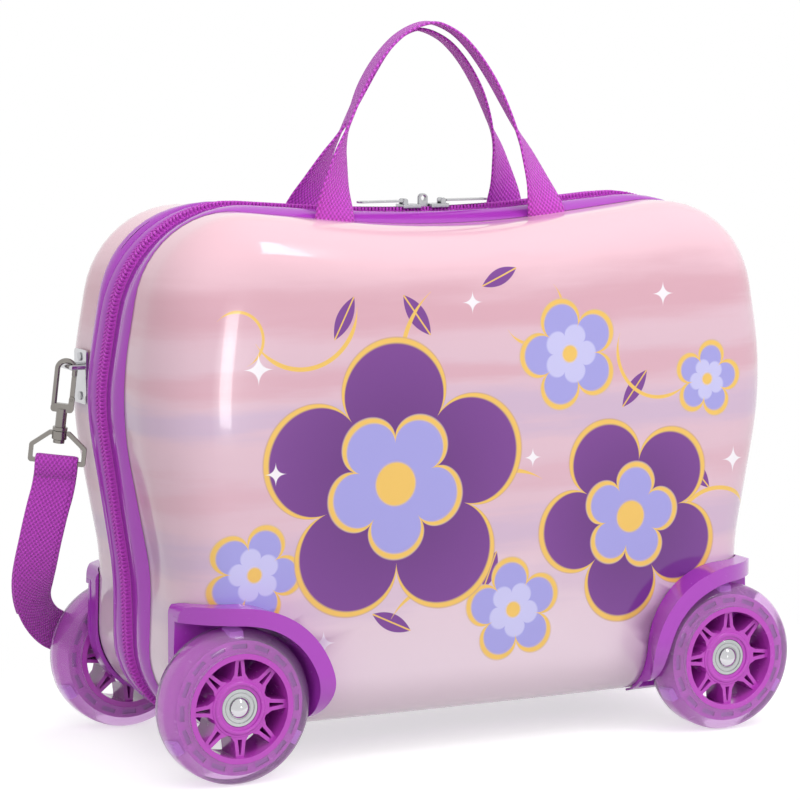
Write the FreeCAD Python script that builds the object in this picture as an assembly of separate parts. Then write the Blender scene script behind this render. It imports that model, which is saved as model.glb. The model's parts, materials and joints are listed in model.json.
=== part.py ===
import FreeCAD, Part
import math
import os

Vector = FreeCAD.Vector

# A child's ride-on hard case: two moulded halves joined by a zip, four wheels in corner housings,
# two webbing carry loops and a clip-on shoulder strap. Sizes are in millimetres.
# X runs along the case, Y from its front (-Y) to its back (+Y), Z up from the floor under its middle.

# The case's outline where the two halves meet, as corners in from its half length at the bulge.
# A corner's rounding takes a share of the shorter side beside it.
case_half = 210.5
foot_inset = 18.0
foot_round_share = 0.571
waist_inset = 16.0
waist_height = 107.0
waist_round_share = 0.145
bulge_height = 212.0
bulge_round_share = 0.185
top_inset = 20.5
top_height = 329.0
top_round_share = 0.573
saddle_dip = 14.6
saddle_round_share = 0.403

# How far the outline has drawn in where the frame meets the shell
edge_foot_rise = 4.0
edge_foot_round_share = 0.533
edge_waist_inset = 5.1
edge_waist_rise = 5.0
edge_waist_round_share = 0.148
edge_bulge_inset = 1.8
edge_bulge_round_share = 0.367
edge_top_inset = 1.1
edge_top_drop = 1.6
edge_top_round_share = 0.483
edge_saddle_drop = 7.4
edge_saddle_round_share = 0.382

# Frame ring of each half
groove_half = 8.5
band_drop = 1.0
bead_width = 9.0
frame_depth = 27.0
frame_wall = 2.4
lap = 6.0
lap_skin = 0.7

# Shell of each half, with a crowned face
shell_face = 85.0
shell_wall = 2.0
shell_fillet = 32.0
crown_round = 3500.0
crown_height = 165.0

# Clearances: between pieces of one half, round a housing, and between pieces that move
fit_gap = 0.1
seat_gap = 0.15
move_gap = 0.3
overrun = 10.0

# Zip: half of the tape and coil is on each half of the case
half_gap = 0.15
tape_thick = 0.8
coil_width = 3.5
coil_height = 2.6
zip_end_inset = 42.5
tape_end_gap = 0.5

# Lining
lining_gap = 3.0
lining_thick = 1.0

# Wheels
wheel_inset = 30.1
wheel_radius = 45.0
axle_rise = 27.0
tyre_proud = 11.5
tyre_width = 26.6
tyre_shoulder = 9.0
tyre_height = 13.4
rim_wall = 3.1
flange_cover = 6.5
flange_width = 18.0
dash_count = 16
dash_cover = 9.8
dash_length = 9.0
dash_height = 2.6
hub_radius = 15.5
hub_width = 19.8
spoke_count = 8
spoke_foot = 11.6
spoke_root = 6.8
spoke_tip = 4.2
spoke_flare = 19.6
spoke_slot_root = 2.8
spoke_slot_tip = 0.9
spoke_slot_start = 18.2
light_count = 3
light_length = 8.0
light_width = 10.0
light_height = 3.6

# Bearings and axles
bearing_radius = 11.0
bearing_bore = 4.0
bearing_width = 7.0
axle_gap = 0.03
axle_head_radius = 6.0
axle_head_height = 3.0
axle_tail = 1.5
nut_radius = 7.5
nut_height = 6.4
boss_radius = 9.0
boss_inside = 6.0

# Wheel housings
arch_clearance = 2.5
cup_wall = 2.5
arch_band = 10.0
housing_proud = 17.0
housing_depth = 46.0
housing_end_proud = 1.6
well_gap = 3.4
plan_inset = 24.4
plan_round = 60.0
under_height = 62.0
under_round = 31.0
housing_corner = 7.0

# Housing screws, at angles round the wheel
screw_radius = 1.5
screw_head_radius = 3.2
screw_head_height = 2.0
screw_length = 16.0
screw_angles = (97.0, 111.0, 125.0)

# Webbing, and the carry loops' shape as shares of their half span and rise
webbing_width = 25.0
webbing_thick = 2.0
loop_half = 72.0
loop_rise = 111.5
loop_half_shares = (1.0, 0.965, 0.905, 0.84, 0.765, 0.67, 0.55, 0.42, 0.28, 0.13, 0.0)
loop_rise_shares = (0.0, 0.15, 0.31, 0.43, 0.55, 0.67, 0.78, 0.87, 0.94, 0.985, 1.0)
loop_twist_shares = (0.0, 0.18, 0.6, 0.88, 1.0, 1.0, 1.0, 1.0, 1.0, 1.0, 1.0)
loop_lean_shares = (0.0, 0.36, 0.72, 0.92, 1.0, 0.96, 0.8, 0.58, 0.34, 0.14, 0.0)
back_left_lean = 11.0
back_right_lean = 3.0
front_left_lean = 0.0
front_right_lean = 8.0

# Zip sliders and pulls
slider_place = 9.4
slider_length = 12.0
slider_width = 11.0
slider_height = 2.4
slider_skirt = 1.2
eyelet_radius = 2.8
eyelet_bore = 1.7
eyelet_thick = 1.6
eyelet_rise = 3.4
eyelet_gap = 0.2
lug_place = 3.4
lug_radius = 1.5
lug_thick = 1.2
lug_rise = 1.9
pin_radius = 0.8
pin_gap = 0.06
pull_length = 31.0
pull_width = 7.0
pull_thick = 1.2
pull_eye = 1.6

# Strap staples on the ends of the back half
staple_gap = 1.0
staple_lift = 10.0
plate_width = 19.0
plate_tall = 32.0
plate_thick = 1.5
plate_round = 2.5
staple_wire = 1.5
staple_reach = 8.5
staple_spread = 7.8
staple_rise = 6.0
rivet_radius = 1.6
rivet_head_radius = 2.6
rivet_head = 1.0
rivet_share = 0.36

# Swivel hooks and their loops, drawn hanging straight down from the middle of the staple's bar
hook_eye = 3.5
hook_wire = 1.6
hook_thick = 4.2
hook_rest_gap = 0.35
hook_eye_length = 22.0
hook_body_length = 27.0
hook_neck_length = 9.0
hook_neck_radius = 3.2
hook_corner = 2.0
cheek_corner = 1.4
gate_top = 5.0
gate_foot = 19.2
gate_gap = 0.3
gate_round = 1.4
gate_thick = 2.2
gate_pin = 0.7
cheek_rise = 1.9
collar_radius = 4.4
collar_height = 2.0
stud_radius = 2.2
stud_gap = 0.06
stud_head_radius = 3.4
stud_head_height = 2.0
boss_height = 5.0
boss_half = 6.0
loop_outer_half = 17.0
loop_shoulder = 9.0
loop_height = 20.0
loop_bar = 2.6
loop_thick = 3.2
loop_corner = 2.0
hang_turn = 26.8
hang_out = 5.0
hang_back = 5.0

# Shoulder strap's left half, from under the loop to near the middle of the back: how far its middle is
# out past the wheel's end, back past the shell's face and up from the floor, and the way that its width
# points there. The right half mirrors it.
strap_route = (
    (15.6, -39.0, 142.0),
    (18.6, -31.0, 117.0),
    (18.4, -15.0, 93.0),
    (12.0, 8.5, 75.0),
    (-9.4, 26.0, 61.0),
    (-47.4, 28.5, 51.5),
    (-92.4, 29.2, 46.8),
    (-149.4, 29.6, 44.2),
)
strap_middle_back = 29.6
strap_middle_height = 43.5
strap_width_shares = (
    (0.88, -0.47, 0.0),
    (0.80, -0.56, -0.20),
    (0.62, -0.46, -0.64),
    (0.36, -0.30, -0.88),
    (0.12, -0.20, -0.97),
    (0.0, -0.05, -1.0),
    (0.0, 0.0, -1.0),
    (0.0, 0.0, -1.0),
    (0.0, 0.0, -1.0),
)
adjuster_place = 58.0
adjuster_half = 10.0
adjuster_wall = 3.5
adjuster_thick = 5.0
adjuster_gap = 0.5


# Drawing helpers
def rounded_wire(corners, depth):
    """A closed wire at y = depth through corners (x, z, round), each rounded by its own arc."""
    count = len(corners)
    ends = []
    for i, (x, z, radius) in enumerate(corners):
        here = Vector(x, depth, z)
        before = Vector(corners[i - 1][0], depth, corners[i - 1][1])
        after = Vector(corners[(i + 1) % count][0], depth, corners[(i + 1) % count][1])
        if radius == 0:
            ends.append((here, None, here))
            continue
        way_in = (here - before).normalize()
        way_out = (after - here).normalize()
        turn = way_in.getAngle(way_out)
        back = radius * math.tan(turn / 2)
        inwards = (way_out - way_in).normalize()
        middle = here + inwards * (radius / math.cos(turn / 2) - radius)
        ends.append((here - way_in * back, middle, here + way_out * back))
    edges = []
    for i, (start, middle, finish) in enumerate(ends):
        last = ends[i - 1][2]
        if not last.isEqual(start, fit_gap / 1000):
            edges.append(Part.LineSegment(last, start).toShape())
        if middle is not None:
            edges.append(Part.Arc(start, middle, finish).toShape())
    return Part.Wire(edges)


def grown(corners, by):
    """The same corners with every side moved outwards by that much, or inwards if it is negative."""
    count = len(corners)
    area = sum(a[0] * b[1] - b[0] * a[1] for a, b in zip(corners, corners[1:] + corners[:1]))
    side = math.copysign(1, area)
    result = []
    for i, (x, z, radius) in enumerate(corners):
        before = corners[i - 1]
        after = corners[(i + 1) % count]
        way_in = Vector(x - before[0], z - before[1], 0).normalize()
        way_out = Vector(after[0] - x, after[1] - z, 0).normalize()
        move = side * by / (1 + way_in.dot(way_out))
        convex = way_in.cross(way_out).z * side > 0
        swollen = radius + (by if convex else -by)
        new_x = x + move * (way_in.y + way_out.y)
        new_z = z - move * (way_in.x + way_out.x)
        result.append((new_x, new_z, swollen if radius else 0))
    return result


def prism(corners, start, finish):
    """The rounded outline drawn out from one depth to another."""
    return Part.Face(rounded_wire(corners, start)).extrude(Vector(0, finish - start, 0))


def taper(first, first_depth, second, second_depth):
    """A straight-sided loft from one outline to another with the same number of corners."""
    wires = [rounded_wire(first, first_depth), rounded_wire(second, second_depth)]
    return Part.makeLoft(wires, True, True)


def block(low, high):
    """A box between two corners."""
    size = high - low
    return Part.makeBox(size.x, size.y, size.z, low)


def rod(start, finish, radius):
    """A cylinder from one point to another."""
    return Part.makeCylinder(radius, start.distanceToPoint(finish), start, finish - start)


def ribbon(middles, widths):
    """Flat webbing lofted through its middle points, with the way that its width points at each."""
    wires = []
    for i, (middle, across) in enumerate(zip(middles, widths)):
        along = (middles[min(i + 1, len(middles) - 1)] - middles[max(i - 1, 0)]).normalize()
        across = (across - along * across.dot(along)).normalize()
        a = across * (webbing_width / 2)
        b = along.cross(across) * (webbing_thick / 2)
        points = [middle + a + b, middle - a + b, middle - a - b, middle + a - b]
        wires.append(Part.makePolygon(points + points[:1]))
    return Part.makeLoft(wires, True, True)


def mirrored_x(shape):
    return shape.mirror(Vector(0, 0, 0), Vector(1, 0, 0))


def mirrored_y(shape):
    return shape.mirror(Vector(0, 0, 0), Vector(0, 1, 0))


def both_sides(right, centre):
    """A whole outline from its right side, foot first, and the corner at the middle of its top."""
    left = [(-x, z, radius) for x, z, radius in reversed(right)]
    return right + [centre] + left


def rounded_corners(corners):
    """Corners (x, z, round) from corners (x, z, share of the shorter side that the rounding takes)."""
    count = len(corners)
    result = []
    for i, (x, z, share) in enumerate(corners):
        before = corners[i - 1]
        after = corners[(i + 1) % count]
        way_in = Vector(x - before[0], z - before[1], 0)
        way_out = Vector(after[0] - x, after[1] - z, 0)
        room = share * min(way_in.Length, way_out.Length)
        result.append((x, z, room / math.tan(way_in.getAngle(way_out) / 2)))
    return result


def top_line(outline, x):
    """Height of an outline's saddle at a place along the case."""
    top_x, top_z, _ = outline[3]
    _, low_z, radius = outline[4]
    slope = math.atan2(top_z - low_z, top_x)
    if abs(x) > radius * math.sin(slope):
        return low_z + abs(x) * math.tan(slope)
    return low_z + radius / math.cos(slope) - math.sqrt(radius**2 - x**2)


parts = {}

# Outlines of the case
foot_half = case_half - foot_inset
foot_height = wheel_radius - axle_rise
waist_half = case_half - waist_inset
top_half = case_half - top_inset
saddle_height = top_height - saddle_dip
zip_sides = both_sides(
    [
        (foot_half, foot_height, foot_round_share),
        (waist_half, waist_height, waist_round_share),
        (case_half, bulge_height, bulge_round_share),
        (top_half, top_height, top_round_share),
    ],
    (0, saddle_height, saddle_round_share),
)
edge_sides = both_sides(
    [
        (foot_half, foot_height + edge_foot_rise, edge_foot_round_share),
        (waist_half - edge_waist_inset, waist_height + edge_waist_rise, edge_waist_round_share),
        (case_half - edge_bulge_inset, bulge_height, edge_bulge_round_share),
        (top_half - edge_top_inset, top_height - edge_top_drop, edge_top_round_share),
    ],
    (0, saddle_height - edge_saddle_drop, edge_saddle_round_share),
)
zip_outline = rounded_corners(zip_sides)
edge_outline = rounded_corners(edge_sides)
bead_start = frame_depth - bead_width
shell_start = frame_depth - lap
shell_outline = grown(edge_outline, -lap_skin - fit_gap)
past_end = case_half + overrun


def face_depth(x, z):
    """Depth of the shell's crowned face at a place on it."""
    return shell_face - crown_round + math.sqrt(crown_round**2 - x**2 - (z - crown_height) ** 2)


def case_body(grow):
    """The solid that fills a half's shell, moved outwards by grow all over."""
    solid = prism(grown(shell_outline, grow), shell_start, shell_face + overrun)
    centre = Vector(0, shell_face - crown_round, crown_height)
    solid = solid.common(Part.makeSphere(crown_round + grow, centre))
    face = max(solid.Faces, key=lambda f: f.CenterOfMass.y)
    return solid.makeFillet(shell_fillet + grow, face.Edges)


# Frame of the back half. The front half mirrors every piece that is made up to the wheels.
def frame_ring():
    """The moulded frame: a flat band beside the zip, then a bead whose thin edge laps over the shell."""
    ring = prism(grown(zip_outline, -band_drop), groove_half, bead_start)
    ring = ring.fuse(taper(zip_outline, bead_start, edge_outline, frame_depth))
    inside = grown(zip_outline, -frame_wall)
    ring = ring.cut(prism(inside, 0, bead_start))
    ring = ring.cut(taper(inside, bead_start, grown(edge_outline, -frame_wall), frame_depth))
    return ring.cut(prism(grown(edge_outline, -lap_skin), shell_start, frame_depth + overrun))


parts["back_frame"] = frame_ring()

# Zip tape with its coil round the sides and top, and plain hinge tape along the bottom
zip_end_half = foot_half - zip_end_inset
tape_outline = grown(zip_outline, -frame_wall - fit_gap)
tape_hole = prism(grown(tape_outline, -tape_thick), 0, bead_start + overrun)
tape = prism(tape_outline, half_gap, bead_start).cut(tape_hole)
coil = prism(grown(tape_outline, coil_height), half_gap, half_gap + coil_width).cut(tape_hole)


def bottom_zone(half):
    """The part of the zip line under the case, out to that far from its middle."""
    return block(Vector(-half, 0, 0), Vector(half, bead_start + overrun, waist_height))


parts["back_zip_tape"] = tape.fuse(coil).cut(bottom_zone(zip_end_half)).removeSplitter()
parts["back_hinge_tape"] = tape.common(bottom_zone(zip_end_half - tape_end_gap))

# Wheel housing at the right end; the left one mirrors it
wheel_half = foot_half - wheel_inset
wheel_height = wheel_radius
tyre_side = shell_face + tyre_proud
housing_front = shell_face + housing_proud
housing_start = housing_front - housing_depth
plan_start = wheel_half - plan_inset
arch_radius = wheel_radius + arch_clearance
cup_radius = arch_radius + cup_wall
band_radius = arch_radius + arch_band
well_depth = tyre_side - tyre_width - well_gap
plate_depth = well_depth - cup_wall
wheel_middle = tyre_side - tyre_width / 2
hub_inside = wheel_middle - hub_width / 2
hub_outside = wheel_middle + hub_width / 2
axle_radius = bearing_bore - axle_gap


def on_axle(depth):
    return Vector(wheel_half, depth, wheel_height)


def arch(radius, far):
    """The wheel well's outline: round over the wheel, and running out past the end of the case."""
    return [
        (wheel_half - radius, -overrun, 0),
        (wheel_half - radius, wheel_height + radius, radius),
        (far, wheel_height + radius, 0),
        (far, -overrun, 0),
    ]


def flange_outline(radius):
    """The flange's outline, with that radius on the side towards the middle of the case."""
    top = wheel_height + band_radius
    foot_x, foot_z, _ = shell_outline[0]
    waist_x, waist_z, _ = shell_outline[1]
    end = waist_x + (foot_x - waist_x) * (waist_z - top) / (waist_z - foot_z) + housing_end_proud
    return [
        (wheel_half - radius, -overrun, 0),
        (wheel_half - radius, top, radius),
        (end, top, housing_corner),
        (end, -overrun, 0),
    ]


def corner_face(points, arc_from, arc_middle):
    """A flat face through points, where the side that starts at one of them is an arc."""
    edges = []
    for i, start in enumerate(points):
        finish = points[(i + 1) % len(points)]
        if i == arc_from:
            edges.append(Part.Arc(start, arc_middle, finish).toShape())
        else:
            edges.append(Part.LineSegment(start, finish).toShape())
    return Part.Face(Part.Wire(edges))


def housing_limits():
    """The block that a housing is cut from: round towards the end of the case, thin underneath it."""
    tall = wheel_height + band_radius + overrun
    near = wheel_half - band_radius - overrun
    end = plan_start + plan_round
    side = housing_front - plan_round
    eighth = plan_round * math.sqrt(0.5)
    plan = corner_face(
        [
            Vector(end, 0, 0),
            Vector(near, 0, 0),
            Vector(near, housing_front, 0),
            Vector(plan_start, housing_front, 0),
            Vector(end, side, 0),
        ],
        3,
        Vector(plan_start + eighth, side + eighth, 0),
    )
    knee_depth = housing_front - under_round
    knee_height = under_height - under_round
    eighth = under_round * math.sqrt(0.5)
    section = corner_face(
        [
            Vector(0, 0, knee_height),
            Vector(0, 0, tall),
            Vector(0, housing_front, tall),
            Vector(0, housing_front, under_height),
            Vector(0, knee_depth, knee_height),
        ],
        3,
        Vector(0, knee_depth + eighth, under_height - eighth),
    )
    low_zone = block(Vector(near, 0, 0), Vector(past_end, shell_face, under_height))
    low = case_body(housing_end_proud).common(low_zone)
    limits = section.extrude(Vector(past_end, 0, 0)).fuse(low).common(plan.extrude(Vector(0, 0, tall)))
    return limits.common(prism(grown(shell_outline, housing_end_proud), 0, housing_front + overrun))


def screw_places():
    """Where the housing's screws stand, in the middle of the flange's band over the shell."""
    radius = (cup_radius + band_radius) / 2
    for angle in screw_angles:
        turn = math.radians(angle)
        yield wheel_half + radius * math.cos(turn), wheel_height + radius * math.sin(turn)


screws = []
screw_holes = []
for x, z in screw_places():
    seat = face_depth(x, z) - shell_wall - move_gap
    seat_point = Vector(x, seat, z)
    tip = Vector(x, seat + screw_length, z)
    head = rod(Vector(x, seat - screw_head_height, z), seat_point, screw_head_radius)
    screws.append(head.fuse(rod(seat_point, tip, screw_radius)))
    screw_holes.append(rod(seat_point, tip + Vector(0, fit_gap, 0), screw_radius + fit_gap))


def wheel_housing():
    """A flange outside the shell that flares to its lip, a thin well through it and an axle boss."""
    limits = housing_limits()
    beyond = housing_front + overrun
    root = flange_outline(cup_radius)
    flange = prism(root, housing_start, shell_face)
    flange = flange.fuse(taper(root, shell_face, flange_outline(band_radius), housing_front))
    flange = flange.common(limits).cut(case_body(seat_gap))
    cup = prism(arch(cup_radius, past_end), plate_depth, beyond).common(limits)
    well = prism(arch(arch_radius, past_end + overrun), well_depth, beyond)
    boss = rod(on_axle(plate_depth - boss_inside), on_axle(hub_inside - move_gap), boss_radius)
    housing = flange.fuse(cup).cut(well).fuse(boss)
    housing = housing.cut(rod(on_axle(0), on_axle(beyond), axle_radius + fit_gap))
    return housing.cut(screw_holes).removeSplitter()


parts["back_housing_right"] = wheel_housing()
parts["back_housing_left"] = mirrored_x(parts["back_housing_right"])
parts["back_housing_screws"] = Part.makeCompound(screws + [mirrored_x(s) for s in screws])

# Lining, with a boxed cover over each wheel well
lining_grow = -shell_wall - lining_gap
lining_outside = case_body(lining_grow)
cover_depth = plate_depth - boss_inside - nut_height - lining_gap
cover_radius = cup_radius + lining_gap
cover_hole = prism(arch(cover_radius, past_end), cover_depth, housing_front)
cover = prism(arch(cover_radius + lining_thick, past_end), cover_depth - lining_thick, housing_front)
room = case_body(lining_grow - lining_thick).cut([cover, mirrored_x(cover)])
lining = lining_outside.cut([room, cover_hole, mirrored_x(cover_hole)])
parts["back_lining"] = lining.removeSplitter()


# Axle bolts and nuts
def axle_bolt():
    """A bolt with a domed head outside the wheel, through its bearings and the housing's boss."""
    bottom = hub_outside + move_gap
    dome_round = (axle_head_radius**2 + axle_head_height**2) / (2 * axle_head_height)
    dome = Part.makeSphere(dome_round, on_axle(bottom + axle_head_height - dome_round))
    dome = dome.common(rod(on_axle(bottom), on_axle(bottom + overrun), dome_round))
    return dome.fuse(rod(on_axle(nut_top - nut_height - axle_tail), on_axle(bottom), axle_radius))


def axle_nut():
    """A six-sided nut inside the case."""
    corners = []
    for i in range(6):
        turn = math.radians(60 * i)
        x = wheel_half + nut_radius * math.cos(turn)
        corners.append((x, wheel_height + nut_radius * math.sin(turn), 0))
    hole = rod(on_axle(0), on_axle(nut_top + overrun), axle_radius + axle_gap)
    return prism(corners, nut_top - nut_height, nut_top).cut(hole)


nut_top = plate_depth - boss_inside - fit_gap
bolt = axle_bolt()
nut = axle_nut()
parts["back_axle_bolts"] = Part.makeCompound([bolt, mirrored_x(bolt)])
parts["back_axle_nuts"] = Part.makeCompound([nut, mirrored_x(nut)])


# Wheel parts, drawn at the right end
def ring(outer, inner, start, finish):
    """A ring about the axle, between two depths."""
    bore = rod(on_axle(start - overrun), on_axle(finish + overrun), inner)
    return rod(on_axle(start), on_axle(finish), outer).cut(bore)


def spun(shape, count):
    """Copies of a shape set evenly round the axle."""
    copies = []
    for i in range(count):
        copy = shape.copy()
        copy.rotate(on_axle(0), Vector(0, 1, 0), 360.0 * i / count)
        copies.append(copy)
    return copies


def radial_plate(stations):
    """A plate across the wheel's width, from stations (distance from the axle, width there)."""
    left = [Vector(wheel_half - width / 2, 0, wheel_height + out) for out, width in stations]
    right = [Vector(wheel_half + width / 2, 0, wheel_height + out) for out, width in reversed(stations)]
    points = left + right
    return Part.Face(Part.makePolygon(points + points[:1])).extrude(Vector(0, tyre_side + overrun, 0))


rim_radius = wheel_radius - tyre_height
rim_inside = rim_radius - rim_wall
flange_radius = wheel_radius - flange_cover
dash_radius = wheel_radius - dash_cover


def wheel_core():
    """The moulded core: rim, a flange inside the tyre, a hub for two bearings and paired spokes."""
    half = flange_width / 2
    core = ring(rim_radius, rim_inside, tyre_side - tyre_width, tyre_side)
    core = core.fuse(ring(flange_radius, rim_inside, wheel_middle - half, wheel_middle + half))
    core = core.fuse(ring(hub_radius, bearing_radius + fit_gap, hub_inside, hub_outside))
    web = ring(rim_inside + rim_wall / 2, hub_radius - rim_wall / 2, hub_inside, hub_outside)
    spoke = radial_plate(
        [(0, spoke_foot), (hub_radius, spoke_foot), (spoke_flare, spoke_root), (rim_radius, spoke_tip)]
    )
    slot_end = rim_inside - rim_wall / 2
    slot = radial_plate([(spoke_slot_start, spoke_slot_root), (slot_end, spoke_slot_tip)])
    core = core.fuse(spun(spoke.common(web).cut(slot), spoke_count))
    low = dash_radius - dash_height / 2
    dash = radial_plate([(low, dash_length), (low + dash_height, dash_length)])
    return core.cut(spun(dash, dash_count)).removeSplitter()


def wheel_lights(gap):
    """Small light blocks on the core's flange, inside the tyre, swollen by a gap for their pockets."""
    low = flange_radius + fit_gap - gap
    length = light_length + 2 * gap
    plate = radial_plate([(low, length), (low + light_height + 2 * gap, length)])
    half = light_width / 2 + gap
    band = ring(wheel_radius, rim_radius, wheel_middle - half, wheel_middle + half)
    return spun(plate.common(band), light_count)


def wheel_tyre():
    """The soft tyre, moulded round the core's flange and the lights."""
    outline = [
        (tyre_side - tyre_width, rim_radius + fit_gap, 0),
        (tyre_side, rim_radius + fit_gap, 0),
        (tyre_side, wheel_radius, tyre_shoulder),
        (tyre_side - tyre_width, wheel_radius, tyre_shoulder),
    ]
    face = Part.Face(rounded_wire(outline, 0))
    face.rotate(Vector(0, 0, 0), Vector(0, 0, 1), 90)
    face.translate(on_axle(0))
    tyre = face.revolve(on_axle(0), Vector(0, 1, 0), 360)
    half = flange_width / 2 + fit_gap
    pocket = ring(flange_radius + fit_gap, rim_inside, wheel_middle - half, wheel_middle + half)
    return tyre.cut([pocket] + wheel_lights(fit_gap))


def wheel_bearings():
    """Two ball bearings, as plain rings, at the ends of the hub."""
    near = ring(bearing_radius, bearing_bore, hub_inside, hub_inside + bearing_width)
    far = ring(bearing_radius, bearing_bore, hub_outside - bearing_width, hub_outside)
    return Part.makeCompound([near, far])


wheel_pieces = {
    "tyre": wheel_tyre(),
    "wheel_core": wheel_core(),
    "bearings": wheel_bearings(),
    "lights": Part.makeCompound(wheel_lights(0)),
}
for name, shape in wheel_pieces.items():
    parts[f"back_right_{name}"] = shape
    parts[f"back_left_{name}"] = mirrored_x(shape)


# Shell, cut away round the housings and for their screws
def shell_skin():
    """One half's moulded skin."""
    skin = case_body(0).cut(case_body(-shell_wall))
    hole = prism(arch(cup_radius + seat_gap, past_end), plate_depth - seat_gap, housing_front)
    cuts = [hole] + screw_holes
    return skin.cut(cuts + [mirrored_x(cut) for cut in cuts])


parts["back_shell"] = shell_skin()

# The front half
for name, shape in list(parts.items()):
    parts[name.replace("back_", "front_", 1)] = mirrored_y(shape)

# Carry loops: webbing that stands up out of the seam between frame and shell
loop_base_depth = frame_depth + move_gap + webbing_thick / 2
loop_top_depth = webbing_width / 2 + half_gap + move_gap
loop_base = top_line(shell_outline, loop_half + webbing_width / 2) + move_gap


def loop_leg(side, lean, turn_way):
    """Places and width directions up one leg of a loop, which leans inwards by up to that much."""
    places = [(Vector(side * loop_half, loop_base_depth, loop_base - webbing_width / 4), Vector(1, 0, 0))]
    for i, rise in enumerate(loop_rise_shares):
        out = loop_half * loop_half_shares[i] - lean * loop_lean_shares[i]
        depth = loop_base_depth + (loop_top_depth - loop_base_depth) * rise
        turn = math.radians(90 * loop_twist_shares[i])
        width = Vector(math.cos(turn), turn_way * math.sin(turn), 0)
        places.append((Vector(side * out, depth, loop_base + loop_rise * rise), width))
    return places


def carry_loop(left_lean, right_lean, turn_way):
    """The back half's loop, whose width turns one way, from along the case to across it and back."""
    legs = loop_leg(1, right_lean, turn_way)
    legs += loop_leg(-1, left_lean, turn_way)[-2::-1]
    below = block(Vector(-case_half, 0, 0), Vector(case_half, shell_face, loop_base))
    return ribbon([middle for middle, _ in legs], [width for _, width in legs]).cut(below)


# Seen from above, both loops turn the same way
parts["handle_back"] = carry_loop(back_left_lean, back_right_lean, 1)
parts["handle_front"] = mirrored_y(carry_loop(front_left_lean, front_right_lean, -1))

# Zip sliders that meet at the middle of the top, with padlock eyelets, and their pulls
coil_top = top_line(tape_outline, 0) + coil_height
slider_bottom = coil_top + move_gap
slider_top = slider_bottom + slider_height
eyelet_height = slider_top + eyelet_rise
lug_x = slider_place + lug_place
lug_height = slider_top + lug_rise


def zip_slider(eyelet_side):
    """The right slider: a plate over the coils with a skirt behind, a padlock eyelet and pull lugs."""
    near = slider_place - slider_length / 2
    far = slider_place + slider_length / 2
    half = slider_width / 2
    body = block(Vector(near, -half, slider_bottom), Vector(far, half, slider_top))
    skirt_start = half_gap + coil_width + move_gap
    skirt = block(
        Vector(near, skirt_start, slider_bottom - slider_skirt), Vector(far, half, slider_bottom)
    )
    inner = eyelet_side * eyelet_gap
    outer = eyelet_side * (eyelet_gap + eyelet_thick)
    low, high = min(inner, outer), max(inner, outer)
    arm = block(Vector(-eyelet_radius, low, slider_bottom), Vector(near, high, slider_top))
    post = block(Vector(-eyelet_radius, low, slider_top), Vector(eyelet_radius, high, eyelet_height))
    eyelet = rod(Vector(0, low, eyelet_height), Vector(0, high, eyelet_height), eyelet_radius)
    slider = body.fuse([skirt, arm, post, eyelet])
    lug_inside = pull_width / 2 - lug_thick
    for side in (-1, 1):
        inside = Vector(lug_x, side * lug_inside, lug_height)
        outside = Vector(lug_x, side * (lug_inside + lug_thick), lug_height)
        low, high = min(inside.y, outside.y), max(inside.y, outside.y)
        foot = block(
            Vector(lug_x - lug_radius, low, slider_top), Vector(lug_x + lug_radius, high, lug_height)
        )
        slider = slider.fuse([rod(inside, outside, lug_radius), foot])
    pin_end = Vector(lug_x, lug_inside, lug_height)
    slider = slider.fuse(rod(Vector(lug_x, -lug_inside, lug_height), pin_end, pin_radius))
    bore = rod(Vector(0, -half, eyelet_height), Vector(0, half, eyelet_height), eyelet_bore)
    return slider.cut(bore).removeSplitter()


def zip_pull():
    """A flat pull that lies outwards from its slider and turns on the slider's pin."""
    neck = pull_width / 2 - lug_thick - move_gap
    eye = rod(Vector(lug_x, -neck, lug_height), Vector(lug_x, neck, lug_height), pull_eye)
    low = lug_height - pull_thick / 2
    high = lug_height + pull_thick / 2
    wide = lug_x + lug_radius + move_gap
    arm = block(Vector(lug_x, -neck, low), Vector(wide + overrun, neck, high))
    far = lug_x + pull_length
    half = pull_width / 2
    corners = [
        Vector(wide, -half, low),
        Vector(far - half, -half, low),
        Vector(far - half, half, low),
        Vector(wide, half, low),
    ]
    tab = corner_face(corners, 1, Vector(far, 0, low)).extrude(Vector(0, 0, pull_thick))
    hole_x = far - half
    hole = rod(Vector(hole_x, 0, low - overrun), Vector(hole_x, 0, high + overrun), pull_eye)
    reach = Vector(0, half, 0)
    pin_place = Vector(lug_x, 0, lug_height)
    bore = rod(pin_place - reach, pin_place + reach, pin_radius + pin_gap)
    return eye.fuse([arm, tab]).cut([bore, hole]).removeSplitter()


parts["zip_slider_right"] = zip_slider(1)
parts["zip_slider_left"] = mirrored_x(zip_slider(-1))
parts["zip_pull_right"] = zip_pull()
parts["zip_pull_left"] = mirrored_x(parts["zip_pull_right"])

# Strap staples, riveted to the ends of the back shell
plate_half = plate_width / 2
staple_depth = frame_depth + staple_gap + plate_half
staple_height = bulge_height + staple_lift
end_zone = block(
    Vector(0, staple_depth - plate_half, staple_height - plate_tall / 2),
    Vector(past_end, staple_depth + plate_half, staple_height + plate_tall / 2),
)
plate_inside = case_body(0).common(end_zone).BoundBox.XMax + fit_gap
plate_outside = plate_inside + plate_thick
bar_x = plate_outside + staple_reach
bar_height = staple_height + staple_rise
rivet_heights = [staple_height + side * plate_tall * rivet_share for side in (-1, 1)]


def on_plate(x, height):
    return Vector(x, staple_depth, height)


rivet_holes = [
    rod(on_plate(0, height), on_plate(past_end, height), rivet_radius + fit_gap) for height in rivet_heights
]


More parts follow.
